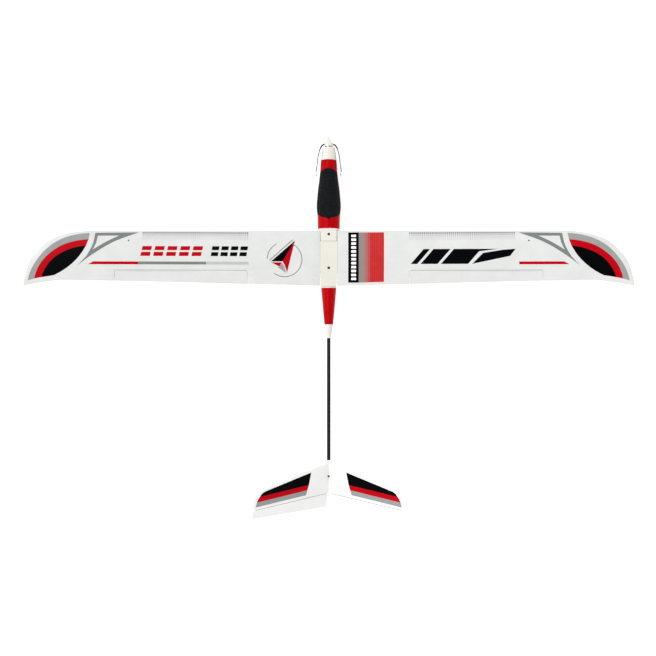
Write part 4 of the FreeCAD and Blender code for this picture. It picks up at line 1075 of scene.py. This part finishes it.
RING = (-131, 187, 50.2, 52.4)
decal("decal_ring", ring_band(*RING, -128, 62) + ring_band(*RING, 118, 178),
      vinyl_dark_grey, on_wing)
decal("decal_dart_black", [[(-100, 243), (-171, 181), (-137, 181)]], vinyl_black, on_wing)
decal("decal_dart_red", [[(-100, 243), (-137, 181), (-131, 171), (-124, 148)],
                         [(-171, 178), (-139, 178), (-147, 166)]], vinyl_red, on_wing)
decal("decal_dart_grey", [[(-139, 176), (-133, 169), (-127, 147), (-150, 163)],
                          [(-103, 246), (-112, 243), (-176, 186), (-176, 182)]], vinyl_grey, on_wing)

# ---------------------------------------------------------------------------
# CAD nodes that keep their own shape get a material of their own
# ---------------------------------------------------------------------------
FINISHES = {
    carbon: ["tail_boom", "wing_spar_left", "wing_spar_right", "wing_peg_left", "wing_peg_right"],
    steel: ["canopy_magnets", "blade_pins", "tail_pushrod_left", "tail_pushrod_right", "aileron_pushrod_left",
            "aileron_pushrod_right", "wing_nuts"],
    dark_steel: ["wing_bolts", "motor_screws", "tail_screw"],
    motor_steel: ["motor_can"],
    aluminium: ["motor_stator", "blade_yoke", "spinner_backplate"],
    black_plastic: ["aileron_servo_arm_left", "aileron_servo_arm_right", "tail_servo_arm_left",
                    "tail_servo_arm_right", "spar_end_plug_left", "spar_end_plug_right", "boom_collar"],
    white_plastic: ["aileron_horn_left", "aileron_horn_right", "tail_horn_left", "tail_horn_right"],
    plywood: ["firewall", "battery_tray", "wing_saddle"],
    webbing: ["battery_strap"],
}
for material, names in FINISHES.items():
    for name in names:
        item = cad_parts[name]
        item.data.materials.clear()
        item.data.materials.append(material)

# ---------------------------------------------------------------------------
# Floor, light and camera
# ---------------------------------------------------------------------------
floor_mesh = bmesh.new()
bmesh.ops.create_grid(floor_mesh, x_segments=8, y_segments=8, size=6.0)
for vertex in floor_mesh.verts:
    vertex.co.z = -0.0005
floor_look = Shader("floor_paper", srgb(192, 192, 192), 0.9, specular=0.1)
floor_look.bsdf.inputs["Emission Color"].default_value = (1.0, 1.0, 1.0, 1.0)
floor_look.bsdf.inputs["Emission Strength"].default_value = 0.72
floor_look.color(floor_look.ramp(floor_look.noise(3.0), [(0.3, srgb(191, 191, 191)), (0.7, srgb(193, 193, 193))]))
floor = store("floor", floor_mesh, floor_look.material, None)

# Soft key light from the upper left.
lamp = bpy.data.lights.new("key", "SUN")
lamp.energy = 1.7
lamp.angle = 0.6
key = bpy.data.objects.new("key", lamp)
key.rotation_euler = Vector((0.5, -0.2, -0.84)).to_track_quat("-Z", "Y").to_euler()
bpy.context.scene.collection.objects.link(key)

# Even sky that is darker straight overhead, so that level surfaces keep deep colours.
world = bpy.data.worlds.new("studio")
bpy.context.scene.world = world
world.use_nodes = True
sky = world.node_tree
direction = sky.nodes.new("ShaderNodeTexCoord")
split = sky.nodes.new("ShaderNodeSeparateXYZ")
height = sky.nodes.new("ShaderNodeMapRange")
height.inputs["From Min"].default_value = 0.86
height.inputs["From Max"].default_value = 0.97
height.inputs["To Min"].default_value = 1.0
height.inputs["To Max"].default_value = 0.5
sky.links.new(direction.outputs["Generated"], split.inputs[0])
sky.links.new(split.outputs["Z"], height.inputs["Value"])
sky.links.new(height.outputs["Result"], sky.nodes["Background"].inputs["Strength"])
sky.nodes["Background"].inputs["Color"].default_value = (1.0, 1.0, 1.0, 1.0)
bpy.context.scene.view_settings.view_transform = "Standard"

lens = bpy.data.cameras.new("camera")
lens.lens = 55.36
lens.sensor_width = 36.0
lens.clip_end = 50.0
camera = bpy.data.objects.new("camera", lens)
camera.location = (-0.0022, -0.0167, 3.08)
camera.rotation_euler = (0.0, 0.0, 0.0)
bpy.context.scene.collection.objects.link(camera)
bpy.context.scene.camera = camera
